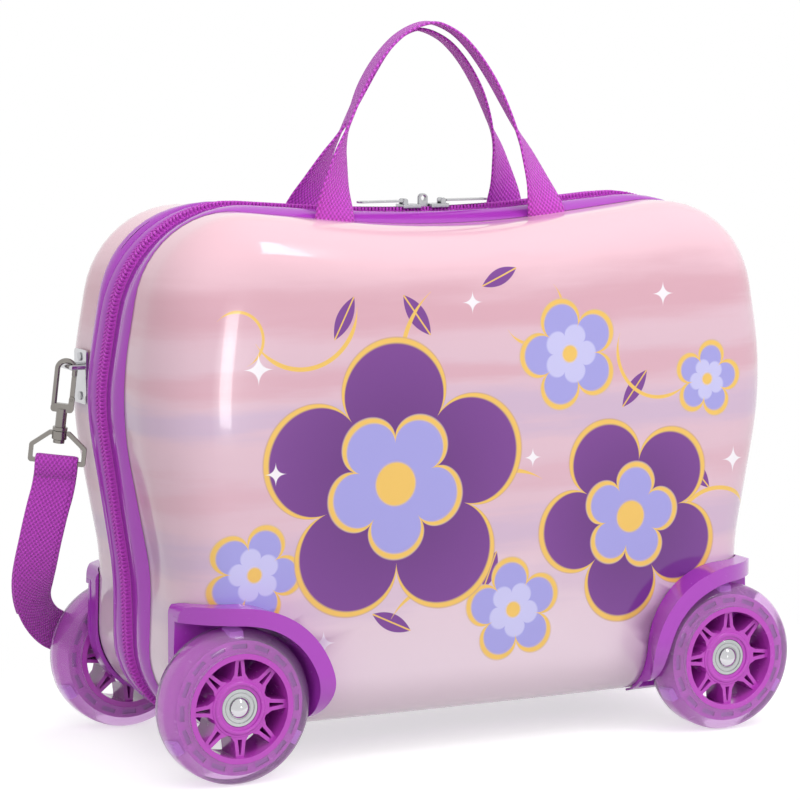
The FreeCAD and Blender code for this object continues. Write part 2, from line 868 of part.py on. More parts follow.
def strap_staple():
    """A plate with a wire bar that stands off it."""
    plate = block(
        Vector(plate_inside, staple_depth - plate_half, staple_height - plate_tall / 2),
        Vector(plate_outside, staple_depth + plate_half, staple_height + plate_tall / 2),
    )
    plate = plate.makeFillet(plate_round, [e for e in plate.Edges if e.Length < plate_thick + fit_gap])
    ends = [Vector(bar_x, staple_depth + side * staple_spread, bar_height) for side in (-1, 1)]
    staple = plate.fuse(rod(ends[0], ends[1], staple_wire))
    for end in ends:
        foot = Vector((plate_inside + plate_outside) / 2, end.y, end.z)
        staple = staple.fuse([rod(foot, end, staple_wire), Part.makeSphere(staple_wire, end)])
    return staple.cut(rivet_holes).removeSplitter()


rivet_start = plate_inside - shell_wall - lining_gap
rivets = []
for height in rivet_heights:
    shank = rod(on_plate(rivet_start, height), on_plate(plate_outside, height), rivet_radius)
    cap_end = on_plate(plate_outside + rivet_head, height)
    rivets.append(shank.fuse(rod(on_plate(plate_outside, height), cap_end, rivet_head_radius)))
parts["back_shell"] = parts["back_shell"].cut(rivet_holes + [mirrored_x(h) for h in rivet_holes])
parts["strap_staple_right"] = strap_staple()
parts["strap_staple_left"] = mirrored_x(parts["strap_staple_right"])
parts["strap_staple_rivets"] = Part.makeCompound(rivets + [mirrored_x(r) for r in rivets])


# Hooks on the staples, drawn hanging straight down from the origin with the gate on the +X side
def down(drop):
    return Vector(0, 0, -drop)


hook_span = hook_eye + hook_wire
hook_half = hook_span + hook_wire
wire_height = staple_wire + hook_rest_gap + hook_wire
bend_height = wire_height - hook_span
hook_end = hook_body_length + hook_neck_length
collar_end = hook_end + collar_height
boss_start = collar_end + move_gap
boss_end = boss_start + boss_height
stud_end = boss_end + move_gap
strap_loop_end = boss_start + loop_height


def hook_bend():
    """The round wire over the bar, with a long leg on one side and a short nose on the other."""
    bend = Part.makeTorus(hook_span, hook_wire, Vector(0, 0, bend_height), Vector(0, 1, 0))
    reach = hook_half + overrun
    bend = bend.cut(block(Vector(-reach, -reach, bend_height - reach), Vector(reach, reach, bend_height)))
    leg_foot = (hook_eye_length + hook_body_length) / 2
    leg = rod(Vector(-hook_span, 0, bend_height), Vector(-hook_span, 0, -leg_foot), hook_wire)
    nose = rod(Vector(hook_span, 0, bend_height), Vector(hook_span, 0, -gate_top), hook_wire)
    return bend.fuse([leg, nose])


def snap_hook():
    """Bent wire on a body with cheeks for the gate, a collar, and a headed stud for the loop."""
    body = [
        (-hook_half, -hook_body_length, hook_corner),
        (-hook_half, -hook_eye_length, hook_corner),
        (hook_half, -hook_eye_length, hook_corner),
        (hook_half, -hook_body_length, hook_corner),
    ]
    cheek_top = gate_foot - cheek_rise
    cheek = [
        (hook_eye, -hook_body_length + hook_corner, 0),
        (hook_eye, -cheek_top, cheek_corner),
        (hook_half, -cheek_top, cheek_corner),
        (hook_half, -hook_body_length + hook_corner, 0),
    ]
    thick = hook_thick / 2
    neck = rod(down(hook_body_length - hook_corner), down(hook_end), hook_neck_radius)
    collar = rod(down(hook_end), down(collar_end), collar_radius)
    stud = rod(down(collar_end), down(stud_end), stud_radius)
    head = rod(down(stud_end), down(stud_end + stud_head_height), stud_head_radius)
    pieces = [prism(body, -thick, thick), prism(cheek, -thick, thick), neck, collar, stud, head]
    slot_half = gate_thick / 2 + gate_gap / 2
    slot_foot = gate_foot + gate_round + gate_gap
    slot = block(Vector(0, -slot_half, -slot_foot), Vector(hook_half + overrun, slot_half, -gate_top))
    pin_hole = rod(gate_pivot - side_way, gate_pivot + side_way, gate_pin + pin_gap)
    return hook_bend().fuse(pieces).cut([slot, pin_hole]).removeSplitter()


def hook_gate():
    """The gate: a bar that closes the hook's open side and turns inwards on its own pin."""
    half = gate_thick / 2
    low, high = gate_pivot.x - gate_round, gate_pivot.x + gate_round
    bar = block(Vector(low, -half, gate_pivot.z), Vector(high, half, -gate_top - gate_gap))
    foot = rod(gate_pivot - Vector(0, half, 0), gate_pivot + Vector(0, half, 0), gate_round)
    reach = Vector(0, hook_thick / 2, 0)
    pin = rod(gate_pivot - reach, gate_pivot + reach, gate_pin)
    return bar.fuse([foot, pin]).removeSplitter()


def strap_loop():
    """The loop that the strap is sewn round, with a boss for the hook's stud."""
    top = -boss_start
    shoulder = top - loop_shoulder
    bottom = top - loop_height
    outer = [
        (-boss_half, top, loop_corner),
        (boss_half, top, loop_corner),
        (loop_outer_half, shoulder, loop_corner),
        (loop_outer_half, bottom, loop_corner),
        (-loop_outer_half, bottom, loop_corner),
        (-loop_outer_half, shoulder, loop_corner),
    ]
    half = loop_thick / 2
    loop = prism(outer, -half, half)
    loop = loop.cut(prism([(x, z, 0) for x, z, _ in grown(outer, -loop_bar)], -loop_thick, loop_thick))
    loop = loop.fuse(rod(down(boss_start), down(boss_end), collar_radius))
    pocket = rod(down(boss_end), down(strap_loop_end - loop_bar), stud_head_radius + move_gap)
    bore = rod(down(boss_start - overrun), down(boss_end + overrun), stud_radius + stud_gap)
    return loop.cut([pocket, bore]).removeSplitter()


gate_pivot = Vector(hook_span, 0, -gate_foot)
side_way = Vector(0, hook_thick, 0)
hang_way = Vector(-math.tan(math.radians(hang_out)), math.tan(math.radians(hang_back)), -1)
hang_rotation = FreeCAD.Rotation(Vector(0, 0, -1), hang_way) * FreeCAD.Rotation(Vector(0, 0, 1), -hang_turn)
hang_place = FreeCAD.Placement(Vector(-bar_x, staple_depth, bar_height), hang_rotation)
for name, shape in {
    "strap_hook": snap_hook(),
    "strap_gate": hook_gate(),
    "strap_loop": strap_loop(),
}.items():
    shape.Placement = hang_place
    parts[f"{name}_left"] = shape
    parts[f"{name}_right"] = mirrored_x(shape)


# Shoulder strap, clipped to both staples and hanging behind the case
def shoulder_strap():
    """The middle points and width directions of the whole strap, left end first."""
    wheel_end = wheel_half + wheel_radius
    middles = [hang_place.multVec(down(strap_loop_end + drop)) for drop in (move_gap, webbing_width / 2)]
    for out, back, height in strap_route:
        middles.append(Vector(-wheel_end - out, shell_face + back, height))
    middles.append(Vector(0, shell_face + strap_middle_back, strap_middle_height))
    first_width = hang_rotation.multVec(Vector(1, 0, 0))
    widths = [first_width, first_width] + [Vector(*way) for way in strap_width_shares]
    for middle, width in list(zip(middles, widths))[-2::-1]:
        middles.append(Vector(-middle.x, middle.y, middle.z))
        widths.append(Vector(-width.x, width.y, width.z))
    return middles, widths


strap_middles, strap_widths = shoulder_strap()
parts["shoulder_strap"] = ribbon(strap_middles, strap_widths)
strap_length = sum(a.distanceToPoint(b) for a, b in zip(strap_middles, strap_middles[1:]))
print("shoulder strap: length", round(strap_length, 1), "volume share of section times length",
      round(parts["shoulder_strap"].Volume / (webbing_width * webbing_thick * strap_length), 3))


def strap_adjuster():
    """A sliding buckle with two windows, round the strap behind the case."""
    after = next(i for i, place in enumerate(strap_middles) if place.x >= adjuster_place)
    before, beyond = strap_middles[after - 1], strap_middles[after]
    share = (adjuster_place - before.x) / (beyond.x - before.x)
    middle = before + (beyond - before) * share
    half_high = webbing_width / 2 + adjuster_gap + adjuster_wall
    half_thick = adjuster_thick / 2
    buckle = block(
        middle - Vector(adjuster_half, half_thick, half_high),
        middle + Vector(adjuster_half, half_thick, half_high),
    )
    slot_high = webbing_width / 2 + adjuster_gap
    slot_thick = webbing_thick / 2 + adjuster_gap
    slot = block(
        middle - Vector(adjuster_half + overrun, slot_thick, slot_high),
        middle + Vector(adjuster_half + overrun, slot_thick, slot_high),
    )
    return buckle.cut(slot)


parts["strap_adjuster"] = strap_adjuster()

# One file for each piece
os.makedirs("parts", exist_ok=True)
for name, shape in parts.items():
    shape.exportStep(f"parts/{name}.step")
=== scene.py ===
"""Looks of a child's ride-on hard case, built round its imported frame."""
import json
import math

import bmesh
import bpy
from mathutils import Matrix, Vector


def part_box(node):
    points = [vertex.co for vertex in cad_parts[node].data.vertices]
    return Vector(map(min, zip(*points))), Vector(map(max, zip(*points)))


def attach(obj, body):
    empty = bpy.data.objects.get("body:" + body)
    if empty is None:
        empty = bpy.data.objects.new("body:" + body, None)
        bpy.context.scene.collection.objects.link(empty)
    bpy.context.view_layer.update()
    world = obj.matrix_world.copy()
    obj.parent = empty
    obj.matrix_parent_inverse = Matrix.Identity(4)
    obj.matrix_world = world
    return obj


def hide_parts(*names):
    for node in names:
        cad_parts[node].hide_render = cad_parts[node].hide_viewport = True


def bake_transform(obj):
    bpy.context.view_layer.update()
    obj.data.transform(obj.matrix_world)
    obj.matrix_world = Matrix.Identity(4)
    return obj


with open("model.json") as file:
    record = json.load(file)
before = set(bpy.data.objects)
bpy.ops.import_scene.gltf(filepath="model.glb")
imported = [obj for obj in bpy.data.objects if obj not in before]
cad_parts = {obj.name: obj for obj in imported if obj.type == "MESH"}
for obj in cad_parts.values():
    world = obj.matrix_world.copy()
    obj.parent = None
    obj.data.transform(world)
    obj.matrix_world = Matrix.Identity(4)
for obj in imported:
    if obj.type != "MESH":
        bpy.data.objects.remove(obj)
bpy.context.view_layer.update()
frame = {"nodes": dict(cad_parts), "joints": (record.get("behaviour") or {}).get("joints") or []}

bl_info = {
    "name": "Ride-on case",
    "version": (1, 0, 0),
    "blender": (4, 5, 0),
    "location": "View3D > Sidebar > Ride-on case",
    "description": "Builds the shells, webbing, wheels and fittings of a ride-on case on its frame",
    "category": "Object",
}

NODES = frame["nodes"]
JOINTS = {joint["name"]: joint for joint in frame["joints"]}
HALVES = {"front": -1, "back": 1}
SIDES = {"left": -1, "right": 1}

# The case's outline where the halves meet, and where the frame meets the shell: x, z and the share of
# the shorter side beside a corner that its rounding takes
ZIP_SIDE = ((0.1925, 0.018, 0.571), (0.1945, 0.107, 0.145), (0.2105, 0.212, 0.185), (0.19, 0.329, 0.573))
ZIP_SADDLE = (0, 0.3144, 0.403)
EDGE_SIDE = ((0.1925, 0.022, 0.533), (0.1894, 0.112, 0.148), (0.2087, 0.212, 0.367), (0.1889, 0.3274, 0.483))
EDGE_SADDLE = (0, 0.307, 0.382)

# Depths and walls of one half, measured from the zip
GROOVE = 0.0085
BAND_DROP = 0.001
BEAD_START = 0.018
FRAME_END = 0.027
FRAME_WALL = 0.0024
LAP_START = 0.021
LAP_SKIN = 0.0008
SHELL_FACE = 0.085
SHELL_WALL = 0.002
SHELL_FILLET = 0.032
CROWN_ROUND = 3.5
CROWN_HEIGHT = 0.165

# Wheels and their wells
WHEEL = Vector(JOINTS["back_right_wheel_spin"]["pos_m"])
WELL_RADIUS = 0.05015
WELL_START = 0.0638
TYRE_LOW, TYRE_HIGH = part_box("back_right_tyre")

# Mesh fineness and joining
ARC_STEPS = 12
RUN_STEPS = 8
MERGE = 0.00001
TINY = 0.0001


# Drawing helpers
def whole(side, saddle):
    """A closed outline (x, z, rounding) from its right side, foot first, and the middle of its top."""
    corners = list(side) + [saddle] + [(-x, z, share) for x, z, share in reversed(side)]
    result = []
    for i, (x, z, share) in enumerate(corners):
        here = Vector((x, z))
        way_in = here - Vector(corners[i - 1][:2])
        way_out = Vector(corners[(i + 1) % len(corners)][:2]) - here
        room = share * min(way_in.length, way_out.length)
        result.append((x, z, room / math.tan(way_in.angle(way_out) / 2)))
    return result


def grown(corners, by):
    """The same corners with every side moved outwards by that much."""
    result = []
    for i, (x, z, radius) in enumerate(corners):
        here = Vector((x, z))
        way_in = (here - Vector(corners[i - 1][:2])).normalized()
        way_out = (Vector(corners[(i + 1) % len(corners)][:2]) - here).normalized()
        move = by / (1 + way_in.dot(way_out))
        turn = way_in.x * way_out.y - way_in.y * way_out.x
        swollen = max(radius + by * math.copysign(1, turn), TINY)
        result.append((x + move * (way_in.y + way_out.y), z - move * (way_in.x + way_out.x), swollen))
    return result


def outline_points(corners):
    """Points (x, z) round a closed outline, the same number whatever its size."""
    runs = []
    for i, (x, z, radius) in enumerate(corners):
        here = Vector((x, z))
        way_in = (here - Vector(corners[i - 1][:2])).normalized()
        way_out = (Vector(corners[(i + 1) % len(corners)][:2]) - here).normalized()
        turn = math.atan2(way_in.x * way_out.y - way_in.y * way_out.x, way_in.dot(way_out))
        start = here - way_in * radius * math.tan(abs(turn) / 2)
        inward = Vector((-way_in.y, way_in.x)) * math.copysign(radius, turn)
        centre = start + inward
        arc = []
        for step in range(ARC_STEPS + 1):
            arc.append(centre + Matrix.Rotation(turn * step / ARC_STEPS, 2) @ -inward)
        runs.append(arc)
    points = []
    for arc, after in zip(runs, runs[1:] + runs[:1]):
        points += arc
        points += [arc[-1].lerp(after[0], step / RUN_STEPS) for step in range(1, RUN_STEPS)]
    return points


def at_depth(corners, depth):
    """An outline's points standing at one depth, or at a depth worked out for each."""
    points = outline_points(corners)
    return [Vector((p.x, depth(p.x, p.y) if callable(depth) else depth, p.y)) for p in points]


def extrude_rings(bm, rings, closed=True):
    """A skin of quads from each ring of points to the next; gives the last ring's edges."""
    order = bm.verts.layers.int.get("order") or bm.verts.layers.int.new("order")
    verts = [bm.verts.new(point) for point in rings[0]]
    for i, vert in enumerate(verts):
        vert[order] = i
    pairs = zip(verts, verts[1:] + verts[:1] if closed else verts[1:])
    first = edges = [bm.edges.new(pair) for pair in pairs]
    for ring in rings[1:]:
        made = set(bmesh.ops.extrude_edge_only(bm, edges=edges)["geom"])
        for vert in (item for item in made if isinstance(item, bmesh.types.BMVert)):
            vert.co = ring[vert[order]]
        edges = [e for e in made if isinstance(e, bmesh.types.BMEdge) and set(e.verts) <= made]
    return first, edges


def finish_mesh(bm, name, sharp=None):
    """A smooth-shaded object at the origin from a bmesh, with edges over an angle kept sharp."""
    bmesh.ops.recalc_face_normals(bm, faces=bm.faces)
    for face in bm.faces:
        face.smooth = True
    if sharp is not None:
        for edge in bm.edges:
            edge.smooth = len(edge.link_faces) == 2 and edge.calc_face_angle() < sharp
    mesh = bpy.data.meshes.new(name)
    bm.to_mesh(mesh)
    bm.free()
    piece = bpy.data.objects.new(name, mesh)
    bpy.context.scene.collection.objects.link(piece)
    return piece


def dress(piece, body, slot, material, *nodes):
    """Sets a piece's finish and the body that it moves with, and hides the nodes that it stands for."""
    piece.data.materials.clear()
    piece.data.materials.append(material)
    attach(piece, body)
    if nodes:
        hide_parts(*nodes)
    return piece


def add_modifier(piece, kind, **settings):
    """A modifier on a piece, with its settings."""
    modifier = piece.modifiers.new(kind.title(), kind)
    for key, value in settings.items():
        setattr(modifier, key, value)
    return modifier


def settle(piece):
    """Applies a piece's modifiers to its mesh."""
    graph = bpy.context.evaluated_depsgraph_get()
    graph.update()
    mesh = bpy.data.meshes.new_from_object(piece.evaluated_get(graph))
    piece.modifiers.clear()
    old = piece.data
    piece.data = mesh
    bpy.data.meshes.remove(old)
    mesh.name = piece.name


def softened(node, name, width, sharp=math.radians(32), segments=2):
    """A copy of a rigid node with its loose triangles joined and its sharp edges rounded."""
    bm = bmesh.new()
    bm.from_mesh(NODES[node].data)
    bmesh.ops.remove_doubles(bm, verts=bm.verts, dist=MERGE)
    bmesh.ops.dissolve_limit(bm, angle_limit=math.radians(0.3), verts=bm.verts, edges=bm.edges)
    edges = [e for e in bm.edges if len(e.link_faces) == 2 and e.calc_face_angle() > sharp]
    bmesh.ops.bevel(
        bm, geom=edges, offset=width, offset_type="OFFSET", segments=segments, profile=0.5,
        affect="EDGES", clamp_overlap=True, material=-1,
    )
    piece = finish_mesh(bm, name, sharp)
    add_modifier(piece, "WEIGHTED_NORMAL", keep_sharp=True)
    return piece


def spun(name, profile, centre, steps, sharp=None):
    """A turned piece about the Y axis through a point, from a closed profile of (depth, radius)."""
    bm = bmesh.new()
    verts = [bm.verts.new((centre.x + radius, depth, centre.z)) for depth, radius in profile]
    edges = [bm.edges.new(pair) for pair in zip(verts, verts[1:] + verts[:1])]
    bmesh.ops.spin(
        bm, geom=verts + edges, cent=centre, axis=(0, 1, 0), dvec=(0, 0, 0), angle=math.tau,
        steps=steps, use_merge=True,
    )
    bmesh.ops.remove_doubles(bm, verts=bm.verts, dist=MERGE)
    return finish_mesh(bm, name, sharp)


def curve_through(values, share):
    """A smooth curve through a list of vectors, at a share of its length counted in steps."""
    place = share * (len(values) - 1)
    i = min(int(place), len(values) - 2)
    t = place - i
    before, a, b = values[max(i - 1, 0)], values[i], values[i + 1]
    after = values[min(i + 2, len(values) - 1)]
    bend = (2 * before - 5 * a + 4 * b - after) * t + (3 * a - 3 * b + after - before) * t * t
    return a + (b - before + bend) * t / 2


def webbing(name, places, ways, width, thick):
    """Flat webbing along places with its width along ways, and a map of lengths for its weave."""
    bm = bmesh.new()
    across = (-0.5, -0.47, -0.4, -0.2, 0.0, 0.2, 0.4, 0.47, 0.5)
    swell = (0.35, 0.8, 1.0, 0.94, 0.92, 0.94, 1.0, 0.8, 0.35)
    section = [(a * width, s * thick / 2) for a, s in zip(across, swell)]
    section += [(a * width, -s * thick / 2) for a, s in zip(reversed(across), reversed(swell))]
    rings = []
    for i, (place, way) in enumerate(zip(places, ways)):
        along = (places[min(i + 1, len(places) - 1)] - places[max(i - 1, 0)]).normalized()
        way = (way - along * way.dot(along)).normalized()
        up = along.cross(way)
        rings.append([place + way * a + up * b for a, b in section])
    extrude_rings(bm, rings)
    bmesh.ops.holes_fill(bm, edges=bm.edges, sides=0)
    order = bm.verts.layers.int["order"]
    lengths = [0.0]
    for a, b in zip(places, places[1:]):
        lengths.append(lengths[-1] + (b - a).length)
    station = {}
    for ring, length in zip(rings, lengths):
        for point in ring:
            station[tuple(round(c, 6) for c in point)] = length
    uv = bm.loops.layers.uv.new("weave")
    for face in bm.faces:
        for loop in face.loops:
            key = tuple(round(c, 6) for c in loop.vert.co)
            loop[uv].uv = (station[key], section[loop.vert[order]][0])
    return finish_mesh(bm, name)


# Material helpers
class Wire:
    """A socket of a finish; sums on it add Math nodes."""

    def __init__(self, finish, socket):
        self.finish = finish
        self.socket = socket

    def maths(self, operation, *values):
        return self.finish.node("ShaderNodeMath", {"operation": operation}, dict(enumerate(values)))

    def __add__(self, other):
        return self.maths("ADD", self, other)

    def __sub__(self, other):
        return self.maths("SUBTRACT", self, other)

    def __rsub__(self, other):
        return self.maths("SUBTRACT", other, self)

    def __mul__(self, other):
        return self.maths("MULTIPLY", self, other)

    def __truediv__(self, other):
        return self.maths("DIVIDE", self, other)

    def __abs__(self):
        return self.maths("ABSOLUTE", self)

    __radd__ = __add__
    __rmul__ = __mul__

    def sine(self):
        return self.maths("SINE", self)

    def least(self, other):
        return self.maths("MINIMUM", self, other)

    def most(self, other):
        return self.maths("MAXIMUM", self, other)

    def power(self, other):
        return self.maths("POWER", self, other)

    def over(self, low, high):
        """0 below the low value, 1 above the high one, smooth between."""
        return self.finish.node(
            "ShaderNodeMapRange", {"interpolation_type": "SMOOTHSTEP"}, {0: self, 1: low, 2: high}
        )


class Finish:
    """One material: node() adds a node and sums on its sockets are maths."""

    def __init__(self, name, **constants):
        self.material = bpy.data.materials.new(name)
        self.material.use_nodes = True
        self.tree = self.material.node_tree
        self.shader = self.tree.nodes["Principled BSDF"]
        for key, value in constants.items():
            self.set(key.replace("_", " ").title().replace("Ior", "IOR"), value)

    def set(self, socket, value):
        self.feed(self.shader.inputs[socket], value)

    def feed(self, socket, value):
        if isinstance(value, Wire):
            self.tree.links.new(value.socket, socket)
        else:
            socket.default_value = value

    def node(self, kind, settings=None, inputs=None, output=0):
        made = self.tree.nodes.new(kind)
        for key, value in (settings or {}).items():
            setattr(made, key, value)
        for key, value in (inputs or {}).items():
            self.feed(made.inputs[key], value)
        return Wire(self, made.outputs[output])

    def places(self):
        """The object's own x, y and z."""
        spot = self.node("ShaderNodeTexCoord", output="Object")
        parts = self.node("ShaderNodeSeparateXYZ", inputs={0: spot})
        tree_node = parts.socket.node
        return [Wire(self, tree_node.outputs[i]) for i in range(3)]

    def weave(self):
        """Lengths along and across webbing."""
        spot = self.node("ShaderNodeUVMap", {"uv_map": "weave"})
        parts = self.node("ShaderNodeSeparateXYZ", inputs={0: spot})
        return [Wire(self, parts.socket.node.outputs[i]) for i in range(2)]

    def noise(self, scale, detail=3.0, roughness=0.5, stretch=(1, 1, 1)):
        spot = self.node("ShaderNodeTexCoord", output="Object")
        spot = self.node("ShaderNodeMapping", inputs={"Vector": spot, "Scale": stretch})
        return self.node(
            "ShaderNodeTexNoise", inputs={"Vector": spot, "Scale": scale, "Detail": detail, "Roughness": roughness}
        )

    def mix(self, share, a, b):
        """One colour turning into another."""
        return self.node("ShaderNodeMix", {"data_type": "RGBA"}, {0: share, 6: a, 7: b}, output=2)

    def bump(self, height, depth, strength=1.0):
        self.set("Normal", self.node(
            "ShaderNodeBump", inputs={"Height": height, "Distance": depth, "Strength": strength}
        ))


def rgb(colour):
    return (*colour, 1.0)


def shade(colour, share):
    return tuple(c * share for c in colour[:3]) + (1.0,)


# Finishes
def moulding_finish(name, colour, roughness=0.16):
    """Glossy moulded plastic with a trace of flow marks and fine scuffs."""
    finish = Finish(name, coat_weight=0.35, coat_roughness=0.06, specular_ior_level=0.5)
    flow = finish.noise(14.0, 3.0)
    scuff = finish.noise(420.0, 2.0, stretch=(1, 0.3, 1))
    finish.set("Base Color", finish.mix(flow, shade(colour, 0.93), shade(colour, 1.07)))
    finish.set("Roughness", roughness + flow * 0.05 + scuff.over(0.62, 0.8) * 0.12)
    finish.bump(finish.noise(160.0, 2.0), 0.00004, 0.5)
    return finish.material


def webbing_finish(name, colour):
    """Woven webbing: ribs across, warp threads along, rolled edges, and painted shade in the weave's hollows with
    painted highlight on its raised threads.
    """
    finish = Finish(name, roughness=0.72, sheen_weight=0.25, sheen_roughness=0.45)
    along, across = finish.weave()
    rib = (along * (math.tau / 0.0034)).sine()
    warp = (across * (math.tau / 0.0026)).sine()
    cross = (rib * warp) * 0.5 + 0.5
    edge = abs(across).over(0.0098, 0.0106) * (1 - abs(across).over(0.0112, 0.0119))
    height = cross - edge * 0.7 + finish.noise(900.0, 2.0) * 0.5
    # Painted shade and highlight: darker where the weave sinks, brighter where it rises.
    tint = finish.mix(cross, shade(colour, 0.55), shade(colour, 1.3))
    finish.set("Base Color", finish.mix(finish.noise(60.0, 2.0) * 0.35, tint, shade(colour, 0.8)))
    finish.bump(height, 0.0007, 0.9)
    return finish.material


def cloth_finish(name, colour, thread=0.0009, coil=None):
    """Thin plain-woven cloth with painted shade in its creases, and the brighter coil along a zip's middle."""
    finish = Finish(name, roughness=0.8, sheen_weight=0.15)
    x, y, z = finish.places()
    weave = ((x + z) * (math.tau / thread)).sine() * ((x - z + y) * (math.tau / thread)).sine()
    crease = finish.noise(26.0, 4.0)
    # Painted shade: darker in the creases' hollows, lighter on their raised folds.
    tint = finish.mix(crease, shade(colour, 0.82), shade(colour, 1.1))
    cloth = finish.mix(weave * 0.2 + 0.2, tint, shade(colour, 0.75))
    if coil is not None:
        cloth = finish.mix(1 - abs(y).over(COIL_END, COIL_END + TAPE_THICK / 2), cloth, rgb(coil))
    finish.set("Base Color", cloth)
    finish.bump(weave * 0.3 + crease * 2.0, 0.0006, 0.6)
    return finish.material


def metal_finish(name, colour, roughness, brush=0.0):
    """Plated metal, bright or brushed, with faint handling marks."""
    finish = Finish(name, metallic=1.0)
    marks = finish.noise(120.0, 4.0)
    grain = finish.noise(900.0, 2.0, stretch=(1, 1, 0.06))
    finish.set("Base Color", finish.mix(marks, shade(colour, 0.88), shade(colour, 1.05)))
    finish.set("Roughness", roughness + marks * 0.08 + grain * brush)
    finish.bump(grain, 0.00002, brush)
    return finish.material


def tyre_finish(name, colour):
    """Soft clear tyre with a slight haze and fine moulding lines."""
    finish = Finish(
        name, transmission_weight=0.82, ior=1.28, specular_ior_level=0.6, coat_weight=0.4, coat_roughness=0.05
    )
    haze = finish.noise(30.0, 3.0)
    finish.set("Base Color", finish.mix(haze, shade(colour, 0.94), shade(colour, 1.05)))
    finish.set("Roughness", haze * 0.12 + 0.1)
    finish.bump(finish.noise(500.0, 2.0), 0.00003, 0.4)
    return finish.material


def light_block_painted_glow_finish(name, colour):
    """Milky plastic of the light blocks, with a faint painted glow that stands in for the light reaching them through
    the clear tyre.
    """
    finish = Finish(name, roughness=0.3, emission_strength=0.5)
    cloud = finish.noise(60.0, 2.0)
    tint = finish.mix(cloud, shade(colour, 0.9), shade(colour, 1.1))
    finish.set("Base Color", tint)
    # Painted glow: the light blocks are no lamp, and this emission stands in for light reaching them through the
    # tyre.
    finish.set("Emission Color", tint)
    return finish.material


# Printed shell: soft sky bands, leaves, vines, blossoms with gold edges and hearts, and four-point sparkles
def blossom(finish, x, z, place, size, petals, turn):
    """Masks of a flower's petals, its gold edge, its inner petals and its gold heart."""
    dx = (x - place[0]) / size
    dz = (z - place[1]) / size
    angle = finish.node("ShaderNodeMath", {"operation": "ARCTAN2"}, {0: dz, 1: dx}) + turn
    out = (dx * dx + dz * dz).power(0.5)
    lobe = abs((angle * (petals / 2)).sine()).power(0.55)
    edge = lobe * 0.42 + 0.58 - out
    inner = abs((angle * (petals / 2) + math.pi / 2).sine()).power(0.55) * 0.2 + 0.32 - out
    fine = 0.0009 / size
    line = 0.0035 / size
    whole_mask = edge.over(-fine, fine)
    return {
        "petal": whole_mask,
        "rim": whole_mask * (1 - edge.over(line - fine, line + fine)),
        "inner": inner.over(-fine, fine),
        "inner_rim": inner.over(-fine, fine) * (1 - inner.over(line - fine, line + fine)),
        "heart": (0.15 - out).over(-fine, fine),
        "fade": out,
    }


def sparkle(x, z, place, size):
    """A four-point star's mask."""
    dx = abs(x - place[0]) / size
    dz = abs(z - place[1]) / size
    return (1 - (dx.power(0.5) + dz.power(0.5))).over(0, 0.12)


def vine(x, z, centre, radius, middle, half, width):
    """A thin arc's mask: its circle, the angle of its middle and how far it reaches to both sides."""
    dx = x - centre[0]
    dz = z - centre[1]
    out = (dx * dx + dz * dz).power(0.5)
    ahead = (dx * math.cos(middle) + dz * math.sin(middle)) / out
    taper = ahead.over(math.cos(half), math.cos(half * 0.55)) * 0.75 + 0.25
    return (taper * width - abs(out - radius)).over(0, 0.0006) * ahead.over(math.cos(half), math.cos(half * 0.98))


def leaf(x, z, place, turn, length, width):
    """A pointed leaf's mask and its middle vein's."""
    dx = x - place[0]
    dz = z - place[1]
    along = (dx * math.cos(turn) + dz * math.sin(turn)) / length
    aside = abs(dz * math.cos(turn) - dx * math.sin(turn)) / width
    inside = 1 - along * along - aside
    return inside.over(0, 0.06), inside.over(0, 0.06) * (1 - aside.over(0.05, 0.12))


# The print's places, in the frame's x and z
VINES = (
    ((-0.004, 0.235), 0.052, 3.5, 1.25, 0.0017), ((0.03, 0.262), 0.02, 5.4, 1.7, 0.0013),
    ((-0.118, 0.268), 0.034, 5.0, 1.3, 0.0016), ((-0.158, 0.252), 0.016, 0.6, 1.8, 0.0012),
    ((0.015, 0.128), 0.04, 2.2, 1.2, 0.0016), ((0.16, 0.116), 0.032, 1.9, 1.4, 0.0016),
    ((0.118, 0.236), 0.03, 4.1, 1.3, 0.0014), ((-0.03, 0.066), 0.038, 1.4, 1.2, 0.0015),
)
LEAVES = (
    ((-0.046, 0.262), 2.2, 0.015, 0.0055), ((-0.092, 0.262), 1.1, 0.014, 0.005), ((0.008, 0.282), 0.4, 0.013, 0.0048),
    ((-0.02, 0.142), 0.2, 0.013, 0.005), ((0.146, 0.158), 2.3, 0.013, 0.005), ((0.1, 0.212), 0.9, 0.014, 0.005),
    ((-0.062, 0.084), 2.7, 0.014, 0.0052), ((0.002, 0.11), 1.2, 0.012, 0.0046),
)
BIG_BLOSSOMS = (
    ((-0.06, 0.165), 0.085, 5, 0.3),
    ((0.098, 0.135), 0.064, 5, 1.1),
)
SMALL_BLOSSOMS = (
    ((0.055, 0.235), 0.034, 5, 0.0),
    ((-0.148, 0.118), 0.03, 5, 0.7),
    ((0.018, 0.085), 0.032, 5, 0.2),
    ((0.152, 0.215), 0.024, 5, 0.5),
)
SPARKLES = (
    ((-0.145, 0.235), 0.011), ((-0.01, 0.268), 0.008), ((0.12, 0.268), 0.009), ((0.172, 0.165), 0.01),
    ((-0.135, 0.175), 0.008), ((0.03, 0.175), 0.007), ((-0.105, 0.075), 0.009),
)


